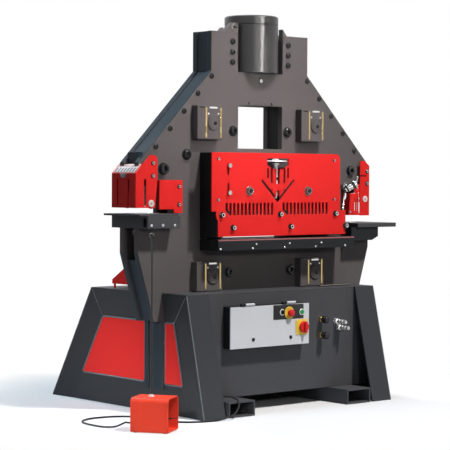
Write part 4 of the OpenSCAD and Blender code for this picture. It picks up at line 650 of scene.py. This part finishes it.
def addLiftBushes(c):
    t = np.linspace(0, 2 * np.pi, 13)
    r, deep = c["r"], c["t"] + 2
    lip = np.stack([r + 0.5 + 3.4 * np.cos(t), -0.8 + 2.2 * np.sin(t)], -1)
    bore = [(r - 0.2, -2), (r - 0.2, deep), (r - 3.6, deep), (r - 3.6, -2), (r - 0.2, -2)]
    ring = joined(turned(lip.tolist(), 40), turned((lip + (0, deep + 0.4)).tolist(), 40), turned(bore, 40))
    plug = turned([(0, -0.4), (10, -0.4), (10, 1.6), (8.6, 3.2), (5, 3.8), (4.4, 2.4), (0, 2.2)], 32)
    piece("pilotPlug", placed(plug, [c["plug"]]), "zincSteel")
    piece("liftBushes", placed(ring, c["at"], way=back), "nutSteel")


addLiftBushes(liftBush)
print("guide trim and lifting bushes set")

# control door: dark button panel, bezels, yellow rings and plates, all on the door's face
doorTrim = dict(panel=(213, 76, -11.5, 505.5), stopRing=(33, -7, 500), bezels=((-56, 505), (82, 501)),
                isolator=(86, 82, 82, 421), screws=(36, 34), plateT=2.2)


def addDoorTrim(c):
    w, h, x, z = c["panel"]
    plate = slab(roundBox(w, h, 3), softEdge(-0.3, 1.4, 0.6))
    piece("buttonPanel", placed(plate, [(x, doorFace, z)]), "blackPlastic", "door")
    r, x, z = c["stopRing"]
    ring = turned([(12.2, 1), (r, 1), (r, 2.6), (r - 1, 3.4), (20, 4.2), (18, 3.4), (14, 3.4), (13.2, 2.4), (12.2, 2.4),
                   (12.2, 1)], 60)
    piece("stopRing", placed(ring, [(x, doorFace, z)]), "yellowPlastic", "door", 30)
    bezel = turned([(12.2, 1), (17, 1), (17, 2.2), (15.8, 3.4), (13.4, 3.6), (12.6, 2.6), (12.2, 2.4), (12.2, 1)],
                   48, 24, 0.01)
    piece("buttonBezels", placed(bezel, onFace(doorFace, c["bezels"])), "zincSteel", "door", 30)
    w, h, x, z = c["isolator"]
    plate = slab(roundBox(w, h, 5), softEdge(-0.3, c["plateT"], 0.8))
    piece("isolatorPlate", placed(plate, [(x, doorFace, z)]), "yellowPlastic", "door")
    slots = turned([(0, 0), (3.6, 0), (3.6, 1.2), (2.6, 1.8), (0, 2)], 20)
    dx, dz = c["screws"]
    corners = onFace(doorFace - c["plateT"], [(x + i * dx, z + j * dz) for i in (-1, 1) for j in (-1, 1)])
    piece("isolatorScrews", placed(slots, corners), "groundSteel", "door")


addDoorTrim(doorTrim)

# push buttons and knobs of the door, each on the same stem
stemFoot = [(0, -9.4), (15.6, -9.4), (15.6, -5.6), (11, -5.5)]
mushroom = dict(x=-7, z=500, head=20)
startCap = dict(x=82, z=501, r=12)
selector = dict(x=-56, z=505, r=11, grip=7)
isolator = dict(x=93, z=421, r=30, grip=16)


def onDoor(name, shape, c, mat, body, angle=38):
    return piece(name, placed(shape, [(c["x"], doorFace, c["z"])]), mat, body, angle)


def addButtons():
    r = mushroom["head"]
    cap = turned(stemFoot + [(11, 15.5), (r - 2, 16), (r, 18), (r, 21), (r - 1.2, 24.5), (r - 4, 27.6), (10, 29.4),
                             (0, 30)], 48)
    ob = onDoor("stopMushroom", cap, mushroom, "redPlastic", "stop", 40)
    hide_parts("stop_button")
    r = startCap["r"]
    cap = turned(stemFoot + [(11, 4.4), (r, 4.6), (r, 8), (r - 1.2, 9), (8, 8.6), (0, 8.2)], 48)
    ob = onDoor("startCap", cap, startCap, "greenPlastic", "start", 40)
    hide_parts("start_button")
    stem = turned(stemFoot + [(11, 5), (10.2, 6), (0, 6)], 40)
    grip = slab(roundBox(selector["grip"], 2 * selector["r"], 3), softEdge(5.6, 18, 1.6))
    ob = onDoor("selectorGrip", joined(stem, grip), selector, "blackPlastic", "selector")
    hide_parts("selector_knob")
    r = isolator["r"]
    disc = turned(stemFoot + [(11, 3.1), (r - 1, 3.1), (r, 4.2), (r, 13), (r - 2.5, 16.4), (r - 6, 17), (0, 17)], 60)
    grip = slab(roundBox(isolator["grip"], 2 * r - 1, 5), softEdge(16.5, 31, 3, 4))
    ob = onDoor("isolatorGrip", joined(disc, grip), isolator, "redPlastic", "isolator")
    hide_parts("isolator_knob")


addButtons()

# quarter-turn catches: slotted heads on cam stems
doorCatch = dict(r=10, h=3, left=dict(x=-255, z=374), right=dict(x=5, z=372))


def addCatch(name, at, body, nodeName, c):
    r, h = c["r"], c["h"]
    head = turned([(0, -13), (6, -13), (6, 0.2), (r, 0.2), (r, h - 1), (r - 1.2, h), (8, h), (7, h - 1), (5.4, h - 1),
                   (5, h - 0.2), (0, h)], 40)
    wing = slab(roundBox(3, 10, 1.2), softEdge(h - 1.2, h + 2.2, 0.6))
    cam = slab(roundBox(14, 30, 4, 5, 0, -9), softEdge(-13.5, -9.6, 0.8))
    ob = onDoor(name, joined(head, wing, cam), at, "blackSteel", body)
    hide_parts(nodeName)


addCatch("leftCatch", doorCatch["left"], "left_catch", "left_door_latch", doorCatch)
addCatch("rightCatch", doorCatch["right"], "right_catch", "right_door_latch", doorCatch)
print("control door set")

# hose couplers and the cord's gland on the front sheet
couplers = dict(y=-188.78, spin=14, bright=((385, 432), (405, 398)), dark=((270, 449), (270, 364)),
                gland=((-545, 112),))


# cable gland: hex collar and a ribbed taper
def cableGland(low):
    return turned([(0, low), (11, low), (11, 3), (12, 3.2, 6), (12, 8.6, 6), (10.4, 10), (10, 12), (8.6, 15), (9, 15.4),
                   (7.4, 18.6), (7.8, 19), (6.2, 22.4), (6, 24), (4.6, 24), (4.6, 20), (0, 20)])


def addCouplers(c):
    at = lambda shape, key, spin=0: placed(shape, onFace(c["y"], c[key]), spin)
    nut = [(0, -6), (11.8, -6), (11.8, 0), (16.2, 0), (17, 0.8, 6), (17, 15, 6), (15, 17, 0), (13, 18)]
    quick = turned(nut + [(10.5, 20), (10.5, 26), (12, 27), (12, 40), (11, 41), (11, 44), (12, 45), (12, 58),
                          (10.6, 61), (9.6, 62), (9.6, 72), (8.8, 80), (6, 80), (6, 70), (0, 70)], 48)
    ob = piece("brightCouplers", at(quick, "bright", c["spin"]), "zincSteel", angle=30)
    collar = turned(nut + [(13, 21), (13, 26), (0, 26)], 48)
    seat = piece("cappedNuts", at(collar, "dark", c["spin"]), "brass", angle=30)
    capped = turned([(0, 25), (18, 25), (19, 27), (19, 40), (17.6, 41), (17.6, 44), (19, 45), (19, 52), (18.2, 56),
                     (16, 60), (12, 63), (0, 64)], 60, 20, 0.014)
    dark = piece("cappedCouplers", at(capped, "dark", c["spin"]), "blackSteel", angle=30)
    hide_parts("front_fittings")
    cone = piece("cordGland", at(cableGland(0), "gland"), "blackPlastic", angle=30)
    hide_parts("front_fittings")
    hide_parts("front_fittings")
    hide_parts("front_fittings")


addCouplers(couplers)

# clamp beside the shear: turned chrome barrel on a post, dark rings, a black knob, a rod up and a lever down
clampLatch = dict(x=560, z=1158, barrelY=-122, tilt=58, turn=-32, lean=18, tip=0.0325, knob=9, knobAt=0.046,
                  leverY=-81.5, leverTurn=26, leverLean=40,
                  reach=(18, 25, 29, 40, 52, 64, 76, 90, 105, 118, 121, 124, 132, 139, 142, 143),
                  thick=(5.4, 5.4, 4, 3.8, 3.8, 3.8, 3.8, 3.8, 3.8, 3.8, 5.4, 6, 6, 6, 4.6, 2.0))


def addLatch(c):
    a, b, lean, swing = (math.radians(c[k]) for k in ("tilt", "turn", "lean", "leverTurn"))
    way = np.array([math.sin(a) * math.cos(b), math.sin(a) * math.sin(b), math.cos(a)])
    mid = mm([(c["x"], c["barrelY"], c["z"])])
    barrel = turned([(0, -38), (12, -38), (14, -36), (14, -30), (17, -29), (18, -27), (18, -14), (16.4, -13),
                     (16.4, -9), (18, -8), (18, 6), (15.5, 7), (15.5, 15), (22, 16), (30, 19), (31, 20.5), (31, 24.5),
                     (29.6, 26), (19, 26), (18, 27), (18, 33), (16, 36), (9, 37.5), (0, 37.5)], 48)
    post = turned([(0, 0), (16, 0), (17, 1), (17, 5), (16, 6), (12, 6.5), (12, 104), (10.5, 108), (8, 112), (0, 112)])
    rod = turned([(0, -4), (4.5, -4), (4.5, 30), (6, 31), (6, 38), (4.4, 41), (0, 41)], 24)
    ob = piece("clampBarrel", joined(facing(sized(barrel), way, mid), placed(post, [(c["x"], 0, c["z"])]),
                                     facing(sized(rod), (math.sin(lean), 0, math.cos(lean)), mid + c["tip"] * way)),
               "chrome", angle=32)
    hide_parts("latch_body")
    ring = turned([(14.2, -29.6), (17, -29.6), (18.8, -28), (18.8, -22), (17, -20.5), (14.2, -20.5), (14.2, -29.6)], 40)
    hoop = turned([(15, 8), (17.4, 8.4), (18.2, 10), (18.2, 12), (17.4, 13.6), (15, 14), (15, 8)], 40)
    piece("clampRings", facing(sized(joined(ring, hoop)), way, mid), "blackSteel", angle=32)
    t = np.linspace(-np.pi / 2, np.pi / 2, 11)[3:]
    ball = turned([(0, -14), (5, -14)] + (c["knob"] * np.stack([np.cos(t), np.sin(t)], -1)).tolist(), 32)
    piece("clampKnob", facing(sized(ball), -way, mid - c["knobAt"] * way), "blackPlastic")
    eye = turned([(12.1, -4.5), (20.5, -4.5), (22, -3), (22, 3), (20.5, 4.5), (12.1, 4.5), (12.1, -4.5)], 40)
    pin = mm([(c["x"], c["leverY"], c["z"])])
    reach, thick = np.array(c["reach"], float), np.array(c["thick"])
    forward = -c["leverLean"] * (reach - reach[0]) / (reach[-1] - reach[0])
    rod = pin + np.stack([-math.sin(swing) * reach, forward, -math.cos(swing) * reach], -1) / 1000
    lever = piece("clampLever", joined(facing(sized(eye), out, pin), tube(rod, thick / 1000, 20, back)),
                  "chrome", "lever", 32)
    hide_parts("latch_lever")


addLatch(clampLatch)
print("couplers and clamp set")

# foot switch: cast hood with soft corners and a rolled mouth, gland, ferrule and rubber feet
footSwitch = dict(at=(-1.044, -0.752), turn=34.0, w=165, l=190, h=165, corner=24, foot=(6, 9), ferruleY=15,
                  glandZ=0.034, pads=(0.062, 0.072))


def footTurn(shape, c):
    v, f = shape
    t = math.radians(c["turn"])
    m = np.array([[math.cos(t), math.sin(t), 0], [-math.sin(t), math.cos(t), 0], [0, 0, 1]])
    return v @ m + np.array([*c["at"], 0]), f


def addFootSwitch(c):
    r, half, top = c["corner"], c["w"] / 2, c["h"] - c["corner"]
    low, lowZ = c["foot"]
    a = np.linspace(0, np.pi / 2, 8)
    arc = lambda cx, cz, rad, s: np.stack([cx + rad * np.cos(a + s), cz + rad * np.sin(a + s)], -1)
    hood = np.concatenate([arc(half - r, top, r, 0), arc(r - half, top, r, np.pi / 2),
                           arc(low - half, lowZ, low, np.pi), arc(half - low, lowZ, low, 1.5 * np.pi)])
    v, f = slab(hood, [(10, -95), (4, -94.4), (1.2, -92.5), (0, -89), (0, 88), (0.4, 92), (1.6, 94.4), (3, 94.9),
                       (4.3, 94.2), (5, 92), (5, -88)])
    shell = np.stack([v[:, 0], -v[:, 2], v[:, 1]], -1), f
    ob = piece("footHood", footTurn(sized(shell), c), "pedalRed", angle=50)
    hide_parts("foot_switch")
    v, f = turned([(0, 164), (15, 164), (15, 166.5), (13.5, 168), (9.5, 169), (9, 174), (6, 175.2), (0, 175.2)])
    ferrule = sized((v + (0, c["ferruleY"], 0), f))
    piece("rodFerrule", footTurn(ferrule, c), "whitePlastic", angle=30)
    gland = facing(sized(cableGland(-4)), back, [(0, c["l"] / 2000, c["glandZ"])])
    piece("footGland", footTurn(gland, c), "blackPlastic", angle=30)
    pad = turned([(0, 0), (9, 0), (10, 1), (10, 3.6), (0, 3.6)], 24)
    dx, dy = c["pads"]
    spots = [(x * dx, y * dy, 0) for x in (-1, 1) for y in (-1, 1)]
    piece("footPads", footTurn(facing(sized(pad), upright, spots), c), "cordRubber")


addFootSwitch(footSwitch)

# treadle: ribbed plate on a pin, tipped up to the front
treadle = dict(w=147, l=120, t=8, tip=10.0, hinge=(0, 55, 34), ribs=9)


def addTreadle(c, s):
    half, l, t = c["w"] / 2, c["l"], c["t"] / 2
    plate = slab(roundBox(c["w"], l - 2, 6, 5, 0, 1 - l / 2), softEdge(-t, t, 1.6, 4))
    y = np.linspace(12 - l, -18, c["ribs"])
    rib = slab(roundBox(c["w"] - 18, 4.2, 2), softEdge(t - 1, t + 1.8, 0.9))
    ribs = facing(rib, upright, np.stack([0 * y, y, 0 * y], -1), 90)
    barrel = turned([(5.1, -half), (8.2, -half), (9, 1 - half), (9, half - 1), (8.2, half), (5.1, half),
                     (5.1, -half)], 32)
    v, f = joined(plate, ribs, facing(barrel, (1, 0, 0), (0, 0, 0)))
    a = math.radians(-c["tip"])
    turnX = np.array([[1, 0, 0], [0, math.cos(a), math.sin(a)], [0, -math.sin(a), math.cos(a)]])
    tipped = sized((v @ turnX + np.array(c["hinge"]), f))
    ob = piece("footTreadle", footTurn(tipped, s), "blackPlastic", "treadle", 34)
    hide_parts("foot_treadle")


addTreadle(treadle, footSwitch)
print("foot switch set")

# left and right stations: sight discs, die bolts and bed screws
stations = dict(discs=[(-750, -24, 1072), (767, -24, 1088)], dieBolt=(8, 5.5, 4), bedScrew=(6, 5, 3),
                diesAt=onFace(-81, [(-791, 963), (-719, 963), (-642, 963)]),
                bedAt=onFace(-150, [(-154, 859), (79, 858), (310, 858), (-399, 838), (-180, 838), (45, 838), (268, 838),
                                    (490, 838)]))
roofScale = dict(at=(-0.849, -0.338, 1.225), slope=45, pitch=0.0240, share=0.40, length=0.058, ruled=(0.10, 0.62),
                 tinted=(0.72, 0.93), ground=(0.74, 0.74, 0.74), ink=(0.04, 0.04, 0.045), tint=(0.66, 0.42, 0.42),
                 width=176, mid=(-825.4, 76, 1249.4), tab=(55, 22, 6), tabAt=(-849, 77, 1224))


def addStations(c):
    disc = turned([(0, -0.2), (18, -0.2), (18, 2), (17, 3), (12, 3.4), (11, 2.8), (6, 2.8), (5, 3.6), (0, 3.8)], 40)
    piece("sightDiscs", placed(disc, c["discs"]), "whitePlastic", angle=30)
    hub = turned([(0, 3.2), (6.4, 3.2), (6.4, 4.2), (5.4, 5), (0, 5.2)], 24)
    piece("sightHubs", placed(hub, c["discs"]), "pinkPlastic", angle=30)
    bolts = placed(domedHead(*c["dieBolt"]), c["diesAt"], 10)
    screws = placed(domedHead(*c["bedScrew"]), c["bedAt"], 10)
    piece("dieBolts", joined(bolts, screws), "groundSteel", angle=30)


# thin ruled plate on the left guard's sloping roof, and the tab at its end
def addRoofScale(c):
    v, f = slab(roundBox(c["length"] * 1000, c["width"], 3), softEdge(-0.2, 1.0, 0.4))
    s = math.sqrt(0.5)
    v = v @ np.array([[s, 0, s], [0, 1, 0], [-s, 0, s]]) + c["mid"]
    piece("roofScale", (mm(v), f), ruledPlate("roofScale", c))
    w, h, r = c["tab"]
    a = np.linspace(0, np.pi / 2, 5)
    low = np.stack([w * 0.34 - r + r * np.sin(a), r - h - r * np.cos(a)], -1)
    tab = slab(np.concatenate([[(-w / 2, 0)], (low * (-1, 1))[::-1], low, [(w / 2, 0)]]), softEdge(-0.2, 3, 0.8))
    piece("roofTab", placed(tab, [c["tabAt"]], 180, (-1, 0, 0)), "beadGrey")


addStations(stations)
addRoofScale(roofScale)

# raised beads round the red panels of both ends, and pale lines along the folds and corners of the ends' slopes; their
# pale bluish grey is a painted highlight on those lips and bends
panelBead = dict(r=4.5, x=644.0, outer=659.4, fold=2.4, corner=3.0, height=615, front=(-342, 144), rear=(978, -365),
                 margin=150, z=(150, 465), post=(-8, 160), mitre=(603, 12), cornerZ=(4, 611), cornerIn=1.6)


# y of an end's sloping edge at height z, d in from it
def endEdge(start, run, height, way):
    slant = way * math.sqrt(1 + (run / height) ** 2)
    return lambda z, d: start + run * z / height + d * slant


def addPanelBeads(c):
    front, rear = endEdge(*c["front"], c["height"], 1), endEdge(*c["rear"], c["height"], -1)
    (lo, hi), (near, far), m = c["z"], c["post"], c["margin"]
    panels = ([(front(lo, m), lo), (near, lo), (near, hi), (front(hi, m), hi)],
              [(far, lo), (rear(lo, m), lo), (rear(hi, m), hi), (far, hi)])
    loops, highlightLines = [], []
    for panel in panels:
        for side in (-1, 1):
            q = np.array([(side * c["x"], y, z) for y, z in panel], float)
            ends = [np.stack([q[i] + (q[(i + 1) % 4] - q[i]) * k for k in (0.03, 0.5, 0.97)]) for i in range(4)]
            loops.append(tube(mm(np.concatenate(ends)), c["r"] / 1000, 10, (1, 0, 0), True))
    piece("panelBeads", joined(*loops), "beadGrey", angle=50)
    top, topIn = c["mitre"]
    for side in (-1, 1):
        x = side * (c["outer"] - 1)
        for edge in (front, rear):
            mitre = np.linspace((side * c["x"], edge(hi, m), hi), (side * c["outer"], edge(top, topIn), top), 5)
            corner = np.linspace(*[(x, edge(z, c["cornerIn"]), z) for z in c["cornerZ"]], 9)
            highlightLines += [tube(mm(mitre), c["fold"] / 1000, 8, back), tube(mm(corner), c["corner"] / 1000, 10, (1, 0, 0))]
    piece("foldHighlights", joined(*highlightLines), "beadGrey", angle=50)


addPanelBeads(panelBead)

# ground strip along the front of the bed's top, tinted pink as a painted reflection of the red guard
bedEdge = dict(x=(-413, 560), y=-150, z=886, w=7)


def addBedEdge(c):
    w = c["w"]
    prof = [(0.3, -w), (-0.5, -w), (-0.5, -2.2), (1.6, 0.4), (w, 0.4), (w, -0.4)]
    v = np.array([[(x, c["y"] + a, c["z"] + b) for a, b in prof] for x in c["x"]]).reshape(-1, 3)
    piece("bedEdge", (mm(v), gridFaces(2, len(prof)) + endFaces(2, len(prof))), "bedSheen")


addBedEdge(bedEdge)

# bluish strips on the outer edges of both uprights: columns, legs and head, and the slopes with their spacers; their
# dark bluish colour is a painted sky reflection and painted shade on those edges
skySheenStrips = dict(runs=(((654, 121), (654, 469)), ((710, 470), (815, 820)), ((340, 1761), (340, 1966))),
                 head=((335, 1757), (335, 1964)), slope=((815, 1278), (340, 1760)), spacer=((788, 1299), (337, 1756)),
                 edges=((16, 136), 31), gap=((76,), 87.4))


# thin strips over the run from one end to the other, at each y and on both sides
def sheenStrips(ends, ys, w):
    (xa, za), (xb, zb) = ends
    strip = slab(roundBox(w, math.hypot(xb - xa, zb - za), 0.6, 3), softEdge(-0.5, 0.7, 0.4))
    at = lambda side: [(side * (xa + xb) / 2, y, (za + zb) / 2) for y in ys]
    return joined(*[placed(strip, at(side), 0, (side * (zb - za), 0, xa - xb)) for side in (-1, 1)])


def addSkySheenStrips(c):
    edges = [sheenStrips(ends, *c["edges"]) for ends in c["runs"]]
    piece("skySheenStrips", joined(*edges, sheenStrips(c["head"], *c["gap"])), "spacerBlue", angle=15)
    slopes = joined(sheenStrips(c["slope"], *c["edges"]), sheenStrips(c["spacer"], *c["gap"]))
    piece("slopeSkySheen", slopes, "slopeBlue", angle=15)


addSkySheenStrips(skySheenStrips)

# lip behind the right guard's inner edge, seen beside the clamp
guardLip = dict(at=(715, -18.8, 1120), w=50, h=100)


def addGuardLip(c):
    lip = slab(roundBox(c["w"], c["h"], 4), softEdge(-1.0, 1.0, 0.4))
    piece("guardLip", placed(lip, [c["at"]]), "guardRed")


addGuardLip(guardLip)

# thin bright rod that lies on the base in front of the right leg
baseRod = dict(points=((344, -104, 620), (410, -98, 620), (480, -101, 620), (540, -97, 620), (579, -100, 620)), r=5)


def addBaseRod(c):
    line = smoothLine(mm(c["points"]), 6)
    piece("baseRod", tube(line, c["r"] / 1000), "nutSteel", angle=50)


addBaseRod(baseRod)
print("stations, beads, coats and bed edge set")


# 1 for rays from the camera, straight, mirrored or through glass
def seenOn(tree):
    ray = tree.nodes.new("ShaderNodeLightPath").outputs
    seen = mathOn(tree, "MAXIMUM", ray["Is Camera Ray"], ray["Is Glossy Ray"])
    return mathOn(tree, "MAXIMUM", seen, ray["Is Transmission Ray"])


def blendOn(tree, fac, first, second):
    m = tree.nodes.new("ShaderNodeMixShader")
    for sock, v in zip(m.inputs, (fac, first, second)):
        tree.links.new(v, sock)
    return m.outputs[0]


# stage: pale floor that keeps the object's shadow and is white far out, white behind, a dim sky for the light
studio = dict(sky=(0.80, 0.90, 1.0, 1), skyStrength=0.11, white=(1, 1, 1, 1), half=30.0, seenFloor=(0.84, 0.84, 0.84),
              litNear=(0.66, 0.74, 0.80), litFar=(0.02, 0.022, 0.025), litEase=(0.95, 1.8), whiteEase=(0.9, 1.9))


def setWorld(c):
    world = bpy.data.worlds.new("studio")
    scene.world = world
    world.use_nodes = True
    t = world.node_tree
    t.nodes.clear()
    end = t.nodes.new("ShaderNodeOutputWorld")
    dim = node(t, "ShaderNodeBackground", Color=c["sky"], Strength=c["skyStrength"])
    white = node(t, "ShaderNodeBackground", Color=c["white"], Strength=1.0)
    t.links.new(blendOn(t, seenOn(t), dim.outputs[0], white.outputs[0]), end.inputs[0])


def setFloor(c):
    mat, tree, bsdf = newMaterial("paleFloor")
    end = bsdf.outputs[0].links[0].to_socket
    bsdf.inputs["Roughness"].default_value = 0.9
    bsdf.inputs["Specular IOR Level"].default_value = 0.0
    glow = node(tree, "ShaderNodeEmission", Color=c["white"], Strength=1.0)
    far = tree.nodes.new("ShaderNodeVectorMath")
    far.operation = "LENGTH"
    tree.links.new(objectPos(tree), far.inputs[0])

    def ease(near, end):
        m = node(tree, "ShaderNodeMapRange", From_Min=near, From_Max=end)
        m.interpolation_type = "SMOOTHSTEP"
        tree.links.new(far.outputs["Value"], m.inputs["Value"])
        return m.outputs[0]

    seen = seenOn(tree)
    lit = mixOn(tree, ease(*c["litEase"]), c["litNear"], c["litFar"])
    tree.links.new(mixOn(tree, seen, lit, c["seenFloor"]), bsdf.inputs["Base Color"])
    both = mathOn(tree, "MULTIPLY", seen, ease(*c["whiteEase"]))
    tree.links.new(blendOn(tree, both, bsdf.outputs[0], glow.outputs[0]), end)
    mesh = bpy.data.meshes.new("paleFloor")
    s = c["half"]
    mesh.from_pydata([(-s, -s, 0), (s, -s, 0), (s, s, 0), (-s, s, 0)], [], [(0, 1, 2, 3)])
    mesh.materials.append(mat)
    floor = bpy.data.objects.new("paleFloor", mesh)
    scene.collection.objects.link(floor)


def lamp(name, place, aim, size, watts, colour, spread=180):
    data = bpy.data.lights.new(name, "AREA")
    data.shape = "DISK"
    data.size = size
    data.energy = watts
    data.color = colour
    data.spread = math.radians(spread)
    ob = bpy.data.objects.new(name, data)
    way = Vector(aim) - Vector(place)
    ob.matrix_world = Matrix.Translation(place) @ way.to_track_quat("-Z", "Y").to_matrix().to_4x4()
    scene.collection.objects.link(ob)


setWorld(studio)
setFloor(studio)
warm = (1.0, 0.97, 0.95)
lamp("keyLamp", place=(0.95, -5.4, 8.4), aim=(0, -0.3, 1.0), size=0.9, watts=880, colour=warm)
lamp("stripLamp", place=(-2.7, -8.5, 2.6), aim=(0, 0, 1.5), size=0.9, watts=82, colour=warm)
lamp("sideLamp", place=(-7.0, -2.2, 1.2), aim=(-0.75, 0.12, 0.26), size=0.4, watts=0.95, colour=warm, spread=12)
lamp("upperLamp", place=(0.9, -8.0, 2.6), aim=(-0.1, -0.3, 1.70), size=0.6, watts=2.9, colour=warm, spread=15)
lamp("pedalLamp", place=(-5.6, -4.1, 2.1), aim=(-1.06, -0.80, 0.10), size=0.4, watts=0.5, colour=warm, spread=8)
lamp("skyLamp", place=(-1.8, 0.9, 9.6), aim=(0, 0, 1.0), size=2.2, watts=260, colour=(0.60, 0.81, 1.0))
lamp("backLamp", place=(-0.7, 7.2, 5.6), aim=(0, 0.2, 1.0), size=1.4, watts=540, colour=(0.93, 0.97, 1.0))
print("stage and lamps set")
